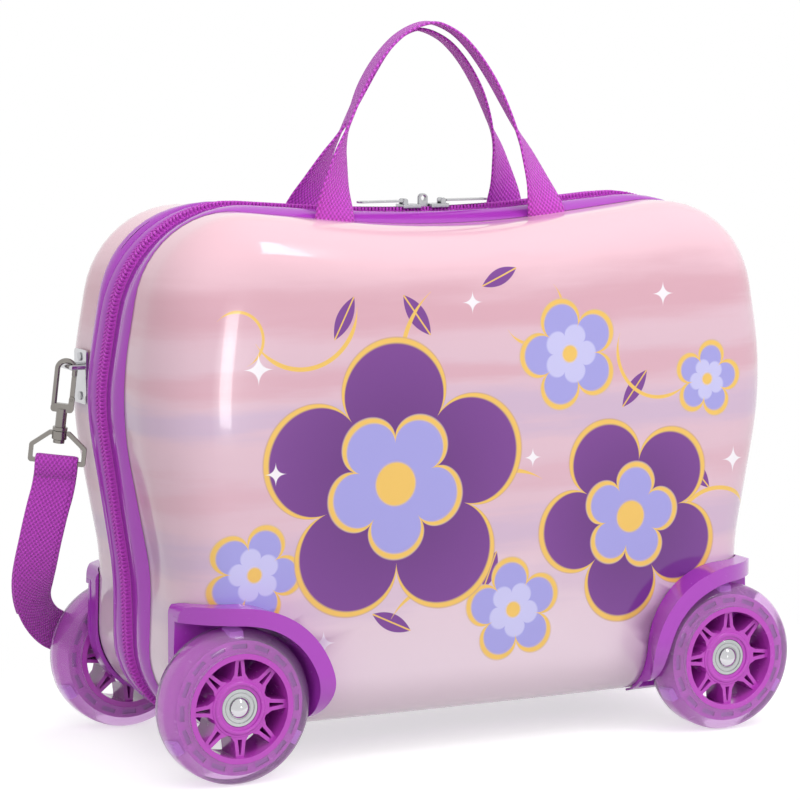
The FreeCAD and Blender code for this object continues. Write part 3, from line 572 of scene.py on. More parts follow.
def shell_finish(name, colours):
    """Glossy film over the shell, printed on both faces."""
    finish = Finish(
        name, coat_weight=0.4, coat_roughness=0.03, specular_ior_level=0.4
    )
    x, y, z = finish.places()
    drift = finish.noise(4.2, 4.0, 0.55, stretch=(0.8, 0.8, 3.2))
    swirl = finish.noise(9.0, 5.0, 0.6, stretch=(0.55, 0.55, 5.0))
    level = z + (drift - 0.5) * 0.05
    sky = finish.mix(level.over(0.235, 0.32), rgb(colours.sky_middle), rgb(colours.sky_top))
    sky = finish.mix(level.over(0.05, 0.15), rgb(colours.sky_low), sky)
    for height, half, tone, depth in (
        (0.268, 0.022, colours.rose_band, 0.7), (0.228, 0.012, colours.rose_band, 0.6),
        (0.204, 0.016, colours.lilac_band, 0.8), (0.166, 0.014, colours.rose_band, 0.4),
        (0.132, 0.018, colours.lilac_band, 0.75), (0.094, 0.016, colours.lilac_band, 0.45),
    ):
        band = 1 - abs(level + (swirl - 0.5) * 0.035 - height).over(half * 0.2, half)
        sky = finish.mix(band * depth * (0.55 + swirl * 0.9).least(1.0), sky, rgb(tone))
    face = abs(y).over(0.052, 0.056)
    colour = sky
    for place, turn, length, width in LEAVES:
        blade, vein = leaf(x, z, place, turn, length, width)
        colour = finish.mix(blade * face, colour, rgb(colours.purple))
        colour = finish.mix(vein * face, colour, rgb(colours.gold))
    for centre, radius, middle, half, width in VINES:
        colour = finish.mix(vine(x, z, centre, radius, middle, half, width) * face, colour, rgb(colours.gold))
    for place, size, petals, turn in SMALL_BLOSSOMS:
        flower = blossom(finish, x, z, place, size, petals, turn)
        colour = finish.mix(flower["petal"] * face, colour, rgb(colours.lavender))
        colour = finish.mix(flower["inner"] * face, colour, rgb(colours.pale_lavender))
        colour = finish.mix(flower["rim"].most(flower["heart"]) * face, colour, rgb(colours.gold))
    for place, size, petals, turn in BIG_BLOSSOMS:
        flower = blossom(finish, x, z, place, size, petals, turn)
        petal = finish.mix(flower["fade"], rgb(colours.deep_purple), rgb(colours.purple))
        colour = finish.mix(flower["petal"] * face, colour, petal)
        colour = finish.mix(flower["inner"] * face, colour, rgb(colours.lavender))
        gold = flower["rim"].most(flower["inner_rim"]).most(flower["heart"])
        colour = finish.mix(gold * face, colour, rgb(colours.gold))
    for place, size in SPARKLES:
        colour = finish.mix(sparkle(x, z, place, size) * face, colour, rgb(colours.white))
    finish.set("Base Color", colour)
    finish.set("Roughness", 0.1 + finish.noise(60.0, 3.0) * 0.06)
    finish.bump(finish.noise(70.0, 2.0), 0.00005, 0.35)
    return finish.material


def seen_directly(finish):
    """1 for what the camera sees, straight on or in metal and glass, and 0 for light on the case."""
    path = finish.node("ShaderNodeLightPath").socket.node
    rays = [Wire(finish, path.outputs[f"Is {kind} Ray"]) for kind in ("Camera", "Glossy", "Transmission")]
    return rays[0].most(rays[1]).most(rays[2])


def floor_finish(colour):
    """Plain pale floor, lifted to white where no shadow falls."""
    finish = Finish("studio_floor", roughness=0.9, specular_ior_level=0.1, base_color=rgb(colour))
    x, y, _ = finish.places()
    glow = finish.node("ShaderNodeEmission", inputs={"Strength": seen_directly(finish) * FLOOR_LIFT})
    both = finish.node("ShaderNodeAddShader", inputs={0: Wire(finish, finish.shader.outputs[0]), 1: glow})
    wide, deep = x / FLOOR_SHOWN[0], y / FLOOR_SHOWN[1]
    away = (wide * wide + deep * deep).power(0.5).over(*FLOOR_FADE) * seen_directly(finish)
    clear = finish.node("ShaderNodeBsdfTransparent")
    faded = finish.node("ShaderNodeMixShader", inputs={0: away, 1: both, 2: clear})
    finish.feed(finish.tree.nodes["Material Output"].inputs["Surface"], faded)
    return finish.material


# Settings
class CaseColours(bpy.types.PropertyGroup):
    """Colours that a user would change."""

    def tone(name, description, default):
        return bpy.props.FloatVectorProperty(
            name=name, description=description, subtype="COLOR", size=3, min=0, max=1, default=default
        )

    sky_top: tone("Sky top", "Shell colour along the saddle", (0.9, 0.56, 0.64))
    sky_middle: tone("Sky middle", "Shell colour at mid height", (0.76, 0.52, 0.61))
    sky_low: tone("Sky low", "Shell colour near the bottom", (0.8, 0.64, 0.73))
    rose_band: tone("Rose bands", "Soft rose bands across the shell", (0.7, 0.36, 0.44))
    lilac_band: tone("Lilac bands", "Soft lilac bands across the shell", (0.62, 0.46, 0.63))
    purple: tone("Purple petals", "Large blossoms towards their tips", (0.2, 0.045, 0.3))
    deep_purple: tone("Deep purple petals", "Large blossoms towards their hearts", (0.11, 0.015, 0.18))
    lavender: tone("Lavender petals", "Small blossoms and inner petals", (0.38, 0.36, 0.78))
    pale_lavender: tone("Pale lavender", "Middles of small blossoms", (0.6, 0.58, 0.9))
    gold: tone("Gold lines", "Edges and hearts of the blossoms", (0.9, 0.56, 0.12))
    white: tone("White", "Sparkles", (0.95, 0.9, 0.95))
    moulding: tone("Moulding", "Frames and wheel housings", (0.42, 0.045, 0.52))
    web: tone("Webbing", "Carry loops and shoulder strap", (0.62, 0.07, 0.65))
    zip_cloth: tone("Zip tape", "Zip tape and cloth hinge", (0.3, 0.025, 0.33))
    zip_coil: tone("Zip coil", "Teeth of the zip", (0.68, 0.07, 0.7))
    lining: tone("Lining", "Cloth inside the case", (0.5, 0.38, 0.58))
    tyre: tone("Tyres", "Clear tyres", (0.8, 0.5, 0.86))
    core: tone("Wheel cores", "Moulded wheel cores", (0.52, 0.055, 0.53))
    # Lights also colours the light blocks' painted glow.
    lamp: tone("Lights", "Light blocks in the tyres", (0.36, 0.14, 0.46))
    # Flange slots is the colour of the painted shade that fills the cores' slots.
    slots: tone("Flange slots", "Slots in the cores, seen through the tyres", (0.34, 0.07, 0.42))
    chrome: tone("Chrome", "Axle heads and staples", (0.62, 0.62, 0.64))
    steel: tone("Steel", "Bearings", (0.55, 0.56, 0.57))
    nickel: tone("Nickel", "Hooks, loops, sliders and pulls", (0.3, 0.28, 0.26))
    zinc: tone("Zinc", "Screws, nuts and rivets", (0.55, 0.55, 0.57))
    floor: tone("Floor", "Studio floor", (0.62, 0.62, 0.62))


class CaseSizes(bpy.types.PropertyGroup):
    """Sizes that a user would change."""

    def length(name, description, default):
        return bpy.props.FloatProperty(
            name=name, description=description, unit="LENGTH", default=default, min=0, precision=4
        )

    tooth_pitch: length("Tooth pitch", "From one zip tooth to the next", 0.0023)
    web_width: length("Webbing width", "Across the webbing", 0.025)
    web_thick: length("Webbing thickness", "Through the webbing", 0.002)
    edge_round: length("Edge rounding", "On moulded edges", 0.001)
    lip_round: length("Lip rounding", "On the wheel housings' lips", 0.0016)
    metal_round: length("Metal rounding", "On metal edges", 0.0004)


def colours():
    return bpy.context.scene.case_colours


def sizes():
    return bpy.context.scene.case_sizes


def flipped(points, sign):
    """Points of the back half, or mirrored for the front one."""
    return [Vector((p.x, sign * p.y, p.z)) for p in points]


zip_line = whole(ZIP_SIDE, ZIP_SADDLE)
edge_line = whole(EDGE_SIDE, EDGE_SADDLE)
shell_line = grown(edge_line, -LAP_SKIN)


def face_depth(x, z):
    """Depth of the shell's crowned face at a place on it."""
    return SHELL_FACE - CROWN_ROUND + math.sqrt(CROWN_ROUND**2 - x**2 - (z - CROWN_HEIGHT) ** 2)


def shell_rings(grow):
    """Rings of a half's shell, from its open edge over the rounded rim to the middle of its face."""
    line = grown(shell_line, grow)
    fillet = SHELL_FILLET + grow
    rings = []
    for share in (0, 0.35, 0.7):
        rings.append(at_depth(line, lambda x, z: LAP_START + (face_depth(x, z) - fillet - LAP_START) * share))
    for step in range(13):
        turn = math.radians(90 * step / 12)
        inset = fillet * (1 - math.cos(turn))
        drop = fillet * (1 - math.sin(turn))
        rings.append(at_depth(grown(line, -inset), lambda x, z: face_depth(x, z) + grow - drop))
    middle = Vector((0, 0, CROWN_HEIGHT))
    last = rings[-1]
    for share in (0.93, 0.84, 0.74, 0.63, 0.52, 0.41, 0.3, 0.2, 0.1):
        ring = []
        for p in last:
            x = middle.x + (p.x - middle.x) * share
            z = middle.z + (p.z - middle.z) * share
            ring.append(Vector((x, face_depth(x, z) + grow, z)))
        rings.append(ring)
    return rings


def well_cutter(sign, radius):
    """A solid that fills a wheel well at both ends of a half."""
    bm = bmesh.new()
    for side in SIDES.values():
        points = []
        for step in range(25):
            turn = math.pi / 2 * (1 + step / 24)
            points.append(Vector((WHEEL.x + radius * math.cos(turn), 0, WHEEL.z + radius * math.sin(turn))))
        points += [Vector((WHEEL.x - radius, 0, -WHEEL.z)), Vector((2 * WHEEL.x, 0, -WHEEL.z))]
        points += [Vector((2 * WHEEL.x, 0, WHEEL.z + radius))]
        points = [Vector((side * p.x, sign * WELL_START, p.z)) for p in points]
        face = bm.faces.new([bm.verts.new(p) for p in points])
        made = bmesh.ops.extrude_face_region(bm, geom=[face])["geom"]
        reach = Vector((0, sign * SHELL_FACE, 0))
        bmesh.ops.translate(bm, vec=reach, verts=[v for v in made if isinstance(v, bmesh.types.BMVert)])
    return finish_mesh(bm, "well_cutter")


class CASE_OT_shells(bpy.types.Operator):
    """Builds both printed shells, cut away round the wheel wells"""

    bl_idname = "case.shells"
    bl_label = "Shells"

    def execute(self, context):
        material = shell_finish("printed_shell", colours())
        for half, sign in HALVES.items():
            bm = bmesh.new()
            rings = [flipped(ring, sign) for ring in shell_rings(0)]
            _, last = extrude_rings(bm, rings)
            bmesh.ops.edgeloop_fill(bm, edges=last)
            shell = finish_mesh(bm, f"shell_{half}")
            add_modifier(shell, "SOLIDIFY", thickness=SHELL_WALL, offset=-1, use_even_offset=True)
            cutter = well_cutter(sign, WELL_RADIUS)
            add_modifier(shell, "BOOLEAN", object=cutter, operation="DIFFERENCE", solver="EXACT")
            settle(shell)
            bpy.data.objects.remove(cutter)
            dress(shell, f"{half}_half", "printed_shell", material, f"{half}_shell")
        return {"FINISHED"}


# The bead's rounded section: shares of the way to the shell, and of how far it stands over the band
BEAD_SHAPE = (
    (0, -1), (0.03, -0.55), (0.08, -0.15), (0.18, 0.2), (0.42, 0.45), (0.66, 0.35), (0.84, 0.0), (0.94, -0.35),
    (1, -0.75),
)


class CASE_OT_frames(bpy.types.Operator):
    """Builds the moulded frame round each half's open edge"""

    bl_idname = "case.frames"
    bl_label = "Frames"

    def execute(self, context):
        material = moulding_finish("purple_moulding", colours().moulding)
        soft = sizes().edge_round * 0.6
        inside = grown(zip_line, -FRAME_WALL)
        band = grown(zip_line, -BAND_DROP)
        lap = grown(edge_line, -LAP_SKIN + TINY)
        profile = [(inside, GROOVE), (grown(band, -soft), GROOVE), (band, GROOVE + soft)]
        profile.append((band, BEAD_START - BAND_DROP))
        for share, rise in BEAD_SHAPE:
            corners = [
                tuple(a + (b - a) * share for a, b in zip(first, second))
                for first, second in zip(zip_line, edge_line)
            ]
            profile.append((grown(corners, rise * BAND_DROP), BEAD_START + (FRAME_END - BEAD_START) * share))
        profile += [
            (lap, FRAME_END), (lap, LAP_START), (grown(edge_line, -FRAME_WALL), LAP_START), (inside, BEAD_START)
        ]
        for half, sign in HALVES.items():
            bm = bmesh.new()
            rings = [flipped(at_depth(corners, depth), sign) for corners, depth in profile]
            first, last = extrude_rings(bm, rings)
            bmesh.ops.bridge_loops(bm, edges=first + last)
            ring = finish_mesh(bm, f"frame_{half}", math.radians(50))
            dress(ring, f"{half}_half", "purple_moulding", material, f"{half}_frame")
        return {"FINISHED"}


TAPE_INSET = 0.0025
TAPE_THICK = 0.0008
COIL_START = 0.00015
COIL_END = 0.0043
COIL_RISE = 0.0036
COIL_SLANT = 0.45
ZIP_END = 0.15


def zip_run(by):
    """The zip's own line round the sides and top, from its right end to its left one."""
    points = [p for p in outline_points(grown(zip_line, by)) if abs(p.x) > ZIP_END or p.y > ZIP_SIDE[1][1]]
    start = max(range(len(points)), key=lambda i: (points[i - 1] - points[i]).length)
    return points[start:] + points[:start]


class CASE_OT_zip(bpy.types.Operator):
    """Builds the zip's tapes and teeth, and the cloth hinge under the case"""

    bl_idname = "case.zip"
    bl_label = "Zip"

    def execute(self, context):
        material = cloth_finish("zip_cloth", colours().zip_cloth, 0.0007, colours().zip_coil)
        for half, sign in HALVES.items():
            bm = bmesh.new()
            line = zip_run(-TAPE_INSET)
            profile = (
                (-TAPE_THICK, COIL_START), (COIL_RISE * 0.45, COIL_START), (COIL_RISE * 0.45, COIL_END * 0.7),
                (COIL_RISE * 0.2, COIL_END * 0.95), (0, COIL_END), (0, BEAD_START), (-TAPE_THICK, BEAD_START),
            )
            rings = []
            for by, depth in profile:
                rings.append([Vector((p.x, sign * depth, p.y)) for p in zip_run(-TAPE_INSET + by)])
            first, last = extrude_rings(bm, rings, closed=False)
            bmesh.ops.bridge_loops(bm, edges=first + last)
            bmesh.ops.holes_fill(bm, edges=bm.edges, sides=0)
            self.add_teeth(bm, line, sign)
            tape = finish_mesh(bm, f"zip_{half}", math.radians(40))
            dress(tape, f"{half}_half", "zip_cloth", material, f"{half}_zip_tape")
        self.add_hinge(cloth_finish("hinge_cloth", colours().zip_cloth, 0.0007))
        return {"FINISHED"}

    def add_teeth(self, bm, line, sign):
        """Small rounded teeth along the coil, set between those of the other half."""
        pitch = sizes().tooth_pitch
        travelled = pitch * (0.25 if sign > 0 else 0.75)
        reach = COIL_END + COIL_START
        for a, b in zip(line, line[1:]):
            length = (b - a).length
            along = (b - a) / length
            out = Vector((along.y, -along.x))
            while travelled < length:
                spot = a + along * travelled + out * COIL_RISE / 2
                turn = Matrix.Rotation(math.atan2(along.x, along.y), 4, "Y")
                turn @= Matrix.Rotation(sign * COIL_SLANT, 4, "X")
                scale = Matrix.Diagonal((COIL_RISE, reach, pitch * 0.66, 1))
                place = Matrix.Translation((spot.x, sign * (reach / 2 - COIL_START), spot.y))
                made = bmesh.ops.create_cube(bm, size=1, matrix=place @ turn @ scale)["verts"]
                edges = list({edge for vert in made for edge in vert.link_edges})
                bmesh.ops.bevel(
                    bm, geom=edges, offset=pitch * 0.26, segments=2, profile=0.5, affect="EDGES", material=-1
                )
                travelled += pitch
            travelled -= length

    def add_hinge(self, material):
        """One strip of cloth that crosses the seam, drooping a little between the ribs."""
        low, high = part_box("back_hinge_tape")
        bm = bmesh.new()
        rings = []
        across = 13
        for i in range(across):
            share = i / (across - 1) * 2 - 1
            sag = 0.0012 * (1 - share * share)
            y = high.y * share
            rings.append([Vector((low.x, y, high.z - TAPE_THICK - sag)), Vector((high.x, y, high.z - TAPE_THICK - sag))])
        extrude_rings(bm, rings, closed=False)
        bmesh.ops.subdivide_edges(
            bm, edges=[e for e in bm.edges if (e.verts[0].co - e.verts[1].co).length > ZIP_END], cuts=40
        )
        strip = finish_mesh(bm, "cloth_hinge")
        add_modifier(strip, "SOLIDIFY", thickness=TAPE_THICK, offset=0)
        settle(strip)
        strip.data.materials.append(material)
        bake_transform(strip)
        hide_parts("back_hinge_tape", "front_hinge_tape")


class CASE_OT_linings(bpy.types.Operator):
    """Builds the cloth lining of each half, with loose wrinkles"""

    bl_idname = "case.linings"
    bl_label = "Linings"

    def execute(self, context):
        material = cloth_finish("lining_cloth", colours().lining)
        for half in HALVES:
            bm = bmesh.new()
            bm.from_mesh(NODES[f"{half}_lining"].data)
            bmesh.ops.remove_doubles(bm, verts=bm.verts, dist=MERGE)
            lining = finish_mesh(bm, f"lining_{half}", math.radians(50))
            dress(lining, f"{half}_half", "lining_cloth", material, f"{half}_lining")
        return {"FINISHED"}


class CASE_OT_housings(bpy.types.Operator):
    """Rounds the wheel housings' edges"""

    bl_idname = "case.housings"
    bl_label = "Wheel housings"

    def execute(self, context):
        material = moulding_finish("housing_moulding", colours().moulding)
        zinc = metal_finish("zinc_steel", colours().zinc, 0.3, 0.1)
        for half in HALVES:
            for side in SIDES:
                node = f"{half}_housing_{side}"
                housing = softened(node, f"housing_{half}_{side}", sizes().lip_round, segments=3)
                dress(housing, f"{half}_half", "purple_moulding", material, node)
            screws = softened(f"{half}_housing_screws", f"screws_{half}", sizes().metal_round)
            dress(screws, f"{half}_half", "zinc_steel", zinc, f"{half}_housing_screws")
        return {"FINISHED"}


RIM_RADIUS = 0.0317
TYRE_SHOULDER = 0.009
BEARING_WIDTH = 0.007

# A bearing's face from its rim inwards: how far in, and how far it is sunk
BEARING_FACE = (
    (0.0, 0.0003), (0.0003, 0.0), (0.0019, 0.0), (0.002, 0.0006), (0.0023, 0.0006), (0.0025, 0.0003),
    (0.0044, 0.0003), (0.0046, 0.0006), (0.0049, 0.0006), (0.005, 0.0), (0.0068, 0.0), (0.007, 0.0002),
)


# Hub's rounded collar outside the bearing, as rise above the hub's face and radius
HUB_COLLAR = (
    (-0.0193, 0.0146), (-0.0193, 0.0172), (-0.0004, 0.0172), (0.0003, 0.0167), (0.0003, 0.0156), (0.0008, 0.0152),
    (0.0011, 0.0147), (0.0011, 0.0137), (0.0008, 0.0131), (-0.0004, 0.0129),
)

# Painted shade in the slots of the core's flange: a darker ring that fills them, as depth from the wheel's middle and
# radius
FLANGE_SLOT_SHADE = ((-0.0076, 0.0335), (0.0076, 0.0335), (0.0076, 0.0369), (-0.0076, 0.0369))


class CASE_OT_wheels(bpy.types.Operator):
    """Builds the clear tyres, wheel cores, bearings, lights and axles"""

    bl_idname = "case.wheels"
    bl_label = "Wheels"

    def tyre_profile(self, sign):
        """The tyre's section, with rounded shoulders."""
        near, far = TYRE_LOW.y, TYRE_HIGH.y
        outer = WHEEL.z
        points = [(near, RIM_RADIUS), (far, RIM_RADIUS)]
        for corner, start in ((far, 0), (near, 90)):
            centre = corner + (TYRE_SHOULDER if corner == near else -TYRE_SHOULDER)
            for step in range(9):
                turn = math.radians(start + 90 * step / 8)
                points.append(
                    (centre + TYRE_SHOULDER * math.cos(turn), outer - TYRE_SHOULDER + TYRE_SHOULDER * math.sin(turn))
                )
        return [(sign * depth, radius) for depth, radius in points]

    def bearings(self, stem, centre):
        """Two ball bearings in one piece, each with its races and sunk shields."""
        low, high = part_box(f"{stem}_bearings")
        outer = (high.z - low.z) / 2
        rings = []
        for start in (low.y, high.y - BEARING_WIDTH):
            face = [(outer - cut, sink) for cut, sink in BEARING_FACE]
            near = [(start + sink, radius) for radius, sink in face]
            far = [(start + BEARING_WIDTH - sink, radius) for radius, sink in reversed(face)]
            rings.append(spun(f"bearings_{stem}", near + far, centre, 64, math.radians(30)))
        bm = bmesh.new()
        for ring in rings:
            bm.from_mesh(ring.data)
            bpy.data.objects.remove(ring)
        return finish_mesh(bm, f"bearings_{stem}", math.radians(30))

    def execute(self, context):
        tones = colours()
        clear = tyre_finish("clear_tyre", tones.tyre)
        core_finish = moulding_finish("wheel_plastic", tones.core, 0.22)
        chrome = metal_finish("bright_chrome", tones.chrome, 0.06)
        steel = metal_finish("bearing_steel", tones.steel, 0.2)
        zinc = metal_finish("nut_zinc", tones.zinc, 0.3, 0.1)
        # The light blocks' finish carries a painted glow, not a lamp.
        lamp = light_block_painted_glow_finish("light_plastic", tones.lamp)
        slot_shade_finish = moulding_finish("slot_painted_shade", tones.slots, 0.3)
        for half, sign in HALVES.items():
            for side, way in SIDES.items():
                stem = f"{half}_{side}"
                body = f"{stem}_wheel"
                centre = Vector((way * WHEEL.x, 0, WHEEL.z))
                tyre = spun(f"tyre_{stem}", self.tyre_profile(sign), centre, 96, math.radians(40))
                dress(tyre, body, "clear_tyre", clear, f"{stem}_tyre")
                core = softened(f"{stem}_wheel_core", f"core_{stem}", sizes().metal_round)
                dress(core, body, "wheel_plastic", core_finish, f"{stem}_wheel_core")
                low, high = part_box(f"{stem}_bearings")
                face = high.y if sign > 0 else low.y
                section = [(face + sign * rise, radius) for rise, radius in HUB_COLLAR]
                collar = spun(f"hub_collar_{stem}", section, centre, 96, math.radians(40))
                dress(collar, body, "wheel_plastic", core_finish)
                # Painted shade: a darker ring fills the flange's slots so that they read dark through the tyre.
                middle = (TYRE_LOW.y + TYRE_HIGH.y) / 2
                section = [(sign * (middle + depth), radius) for depth, radius in FLANGE_SLOT_SHADE]
                tint = spun(f"flange_slot_shade_{stem}", section, centre, 96, math.radians(40))
                dress(tint, body, "wheel_plastic", slot_shade_finish)
                bearing = self.bearings(stem, centre)
                dress(bearing, body, "chrome", steel, f"{stem}_bearings")
                lights = softened(f"{stem}_lights", f"lights_{stem}", sizes().metal_round)
                dress(lights, body, "light_plastic", lamp, f"{stem}_lights")
            bolts = softened(f"{half}_axle_bolts", f"axle_bolts_{half}", sizes().metal_round)
            dress(bolts, f"{half}_half", "chrome", chrome, f"{half}_axle_bolts")
            nuts = softened(f"{half}_axle_nuts", f"axle_nuts_{half}", sizes().metal_round)
            dress(nuts, f"{half}_half", "zinc_steel", zinc, f"{half}_axle_nuts")
        return {"FINISHED"}


# Carry loops, as shares of their half span and rise, and of a quarter turn
LOOP_HALF = 0.072
LOOP_RISES = {"back": 0.1085, "front": 0.1125}
LOOP_BASE = Vector(JOINTS["back_handle_fold"]["pos_m"])
LOOP_DEPTH = 0.0283
LOOP_TOP_DEPTH = 0.0092
LOOP_SEAT = 0.006
LOOP_SHARES = (
    (1.0, 0.0, 0.0), (0.965, 0.15, 0.31), (0.905, 0.31, 0.53), (0.84, 0.43, 0.69), (0.765, 0.55, 0.78),
    (0.67, 0.67, 0.82), (0.55, 0.78, 0.83), (0.42, 0.87, 0.83), (0.28, 0.94, 0.83), (0.13, 0.985, 0.83),
    (0.0, 1.0, 0.83),
)
LOOP_LEAN_SHARES = (0.35, 0.55, 0.78, 0.93, 1.0, 0.96, 0.8, 0.58, 0.34, 0.14, 0.0)
LOOP_LEANS = {"back": {1: 0.003, -1: 0.016}, "front": {1: 0.008, -1: 0.0}}


class CASE_OT_carry_loops(bpy.types.Operator):
    """Builds the two webbing carry loops"""

    bl_idname = "case.carry_loops"
    bl_label = "Carry loops"

    def leg(self, side, lean):
        """Where a leg stands out to one side, its share of the rise and its share of the twist."""
        foot = side * (LOOP_HALF - LOOP_LEAN_SHARES[0] * lean)
        keys = [Vector((foot, -LOOP_SEAT / LOOP_RISES["back"], 0.0))]
        for (half, rise, twist), leaning in zip(LOOP_SHARES, LOOP_LEAN_SHARES):
            keys.append(Vector((side * (half * LOOP_HALF - leaning * lean), rise, twist)))
        return keys

    def execute(self, context):
        material = webbing_finish("woven_webbing", colours().web)
        for half, sign in HALVES.items():
            keys = self.leg(1, LOOP_LEANS[half][1])
            keys += reversed(self.leg(-1, LOOP_LEANS[half][-1])[:-1])
            places, ways = [], []
            steps = 110
            for step in range(steps + 1):
                span, rise, twist = curve_through(keys, step / steps)
                depth = LOOP_DEPTH + (LOOP_TOP_DEPTH - LOOP_DEPTH) * max(rise, 0)
                places.append(Vector((span, sign * depth, LOOP_BASE.z + rise * LOOP_RISES[half])))
                turn = math.pi / 2 * twist
                ways.append(Vector((math.cos(turn), math.sin(turn), 0)))
            loop = webbing(f"carry_loop_{half}", places, ways, sizes().web_width, sizes().web_thick)
            loop.data.materials.append(material)
            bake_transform(loop)
            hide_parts(f"handle_{half}")
        return {"FINISHED"}


class CASE_OT_fittings(bpy.types.Operator):
    """Rounds the zip sliders, pulls, staples, hooks, gates and strap loops"""

    bl_idname = "case.fittings"
    bl_label = "Metal fittings"

    def execute(self, context):
        tones = colours()
        nickel = metal_finish("satin_nickel", tones.nickel, 0.15, 0.12)
        bright = metal_finish("bright_nickel", tones.steel, 0.15, 0.12)
        chrome = metal_finish("staple_chrome", tones.chrome, 0.1)
        zinc = metal_finish("rivet_zinc", tones.zinc, 0.25, 0.1)
        soft = sizes().metal_round
        for side in SIDES:
            for stem, body in (
                ("zip_slider", "slider"), ("zip_pull", "pull"), ("strap_hook", "hook"), ("strap_gate", "gate")
            ):
                piece = softened(f"{stem}_{side}", f"{stem}.{side}", soft)
                finish = bright if stem.startswith("zip") else nickel
                dress(piece, f"{side}_{body}", "nickel", finish, f"{stem}_{side}")
            piece = softened(f"strap_loop_{side}", f"strap_loop.{side}", soft)
            dress(piece, "strap", "nickel", nickel, f"strap_loop_{side}")
            piece = softened(f"strap_staple_{side}", f"strap_staple.{side}", soft)
            dress(piece, "back_half", "chrome", chrome, f"strap_staple_{side}")
        rivets = softened("strap_staple_rivets", "staple_rivets", soft)
        dress(rivets, "back_half", "zinc_steel", zinc, "strap_staple_rivets")
        return {"FINISHED"}


# Shoulder strap's left half, from under the loop's bar to the middle of the back, and its width's way
STRAP_ROUTE = (
    (-0.225, 0.0455, 0.142), (-0.2282, 0.0525, 0.117), (-0.227, 0.067, 0.0925), (-0.2145, 0.0905, 0.0705),
    (-0.1945, 0.1095, 0.0545), (-0.158, 0.1135, 0.0492), (-0.115, 0.1142, 0.0465), (-0.058, 0.1146, 0.0442),
    (0.0, 0.1146, 0.0435),
)
STRAP_WAYS = (
    (0.89, -0.45, -0.1), (0.89, -0.45, -0.1), (0.89, -0.46, 0.0), (0.87, -0.47, 0.12), (0.74, -0.4, 0.54),
    (0.4, -0.1, 0.91), (0.14, 0.03, 0.99), (0.04, 0.0, 1.0), (0.0, 0.0, 1.0), (0.0, 0.0, 1.0), (0.0, 0.0, 1.0),
)
STRAP_DROPS = (0.06205, 0.07425)

# Where the strap's end is turned back over the loop's bar: how far out, and how far below the swivel
TURN_PLACES = (
    (-0.0008, 0.0728), (0.0018, 0.0655), (0.0029, 0.0618), (0.0029, 0.0592), (0.0017, 0.0576), (0.0, 0.0571),
    (-0.0017, 0.0576), (-0.0029, 0.0592), (-0.0031, 0.0615),
)
TURNED_SHARE = 0.22
TURNED_GAP = 0.0034


def along_spline(points):
    """Points along the smooth line that a cord's listed points give."""
    curve = bpy.data.curves.new("strap_route", "CURVE")
    curve.dimensions = "3D"
    curve.resolution_u = 12
    spline = curve.splines.new("NURBS")
    spline.points.add(len(points) - 1)
    for point, place in zip(spline.points, points):
        point.co = (*place, 1)
    spline.order_u = 3
    spline.use_endpoint_u = True
    guide = bpy.data.objects.new("strap_route", curve)
    bpy.context.scene.collection.objects.link(guide)
    line = bpy.data.meshes.new_from_object(guide)
    places = [v.co.copy() for v in line.vertices]
    bpy.data.objects.remove(guide)
    bpy.data.meshes.remove(line)
    return places


class CASE_OT_shoulder_strap(bpy.types.Operator):
    """Builds the shoulder strap, its turned-back ends and its adjuster"""

    bl_idname = "case.shoulder_strap"
    bl_label = "Shoulder strap"

    def turned_end(self, places, ways, hang):
        """The left end's second layer, from over the loop's bar to where it is sewn to the first."""
        axis = Vector(hang["axis"])
        out = (-axis).cross(ways[0]).normalized()
        line = [Vector(hang["pos_m"]) - axis * drop + out * gap for gap, drop in TURN_PLACES]
        widths = [ways[0]] * len(line)
        count = int(len(places) * TURNED_SHARE)
        for i in range(2, count):
            along = (places[i + 1] - places[i - 1]).normalized()
            lift = along.cross(ways[i]).normalized()
            gap = TURNED_GAP + (sizes().web_thick - TURNED_GAP) * (i / count) ** 4
            line.append(places[i] - lift * gap)
            widths.append(ways[i])
        return line, widths

    def execute(self, context):
        hang = JOINTS["left_hook_swivel"]
        route = [Vector(hang["pos_m"]) - Vector(hang["axis"]) * drop for drop in STRAP_DROPS]
        route += [Vector(place) for place in STRAP_ROUTE]
        route += [Vector((-p.x, p.y, p.z)) for p in reversed(route[:-1])]
        ways = [Vector(way) for way in STRAP_WAYS]
        ways += [Vector((-w.x, w.y, w.z)) for w in reversed(ways[:-1])]
        places = along_spline(route)
        turned = along_spline(ways)
        material = webbing_finish("strap_webbing", colours().web)
        strap = webbing("shoulder_strap.web", places, turned, sizes().web_width, sizes().web_thick)
        dress(strap, "strap", "webbing", material, "shoulder_strap")
        line, widths = self.turned_end(places, turned, hang)
        for side, way in SIDES.items():
            sided = [[Vector((-way * p.x, p.y, p.z)) for p in points] for points in (line, widths)]
            end = webbing(f"strap_turned_end.{side}", *sided, sizes().web_width, sizes().web_thick)
            dress(end, "strap", "webbing", material)
        adjuster = softened("strap_adjuster", "strap_adjuster.buckle", sizes().metal_round)
        buckle = moulding_finish("buckle_plastic", colours().web, 0.35)
        dress(adjuster, "strap", "buckle_plastic", buckle, "strap_adjuster")
        return {"FINISHED"}


# The photograph's camera, and the studio
CAMERA_PLACE = Vector((-0.89704, -1.74555, 0.44561))
CAMERA_YAW = 0.468
CAMERA_PITCH = 0.124
CAMERA_ROLL = 0.003
CAMERA_LENS = 146.889
CAMERA_SENSOR = 36.0
FLOOR_HALF = 8.0
FLOOR_LIFT = 0.62
FLOOR_SHOWN = (0.34, 0.19)
FLOOR_FADE = (0.9, 1.5)
WORLD_LIGHT = 0.45


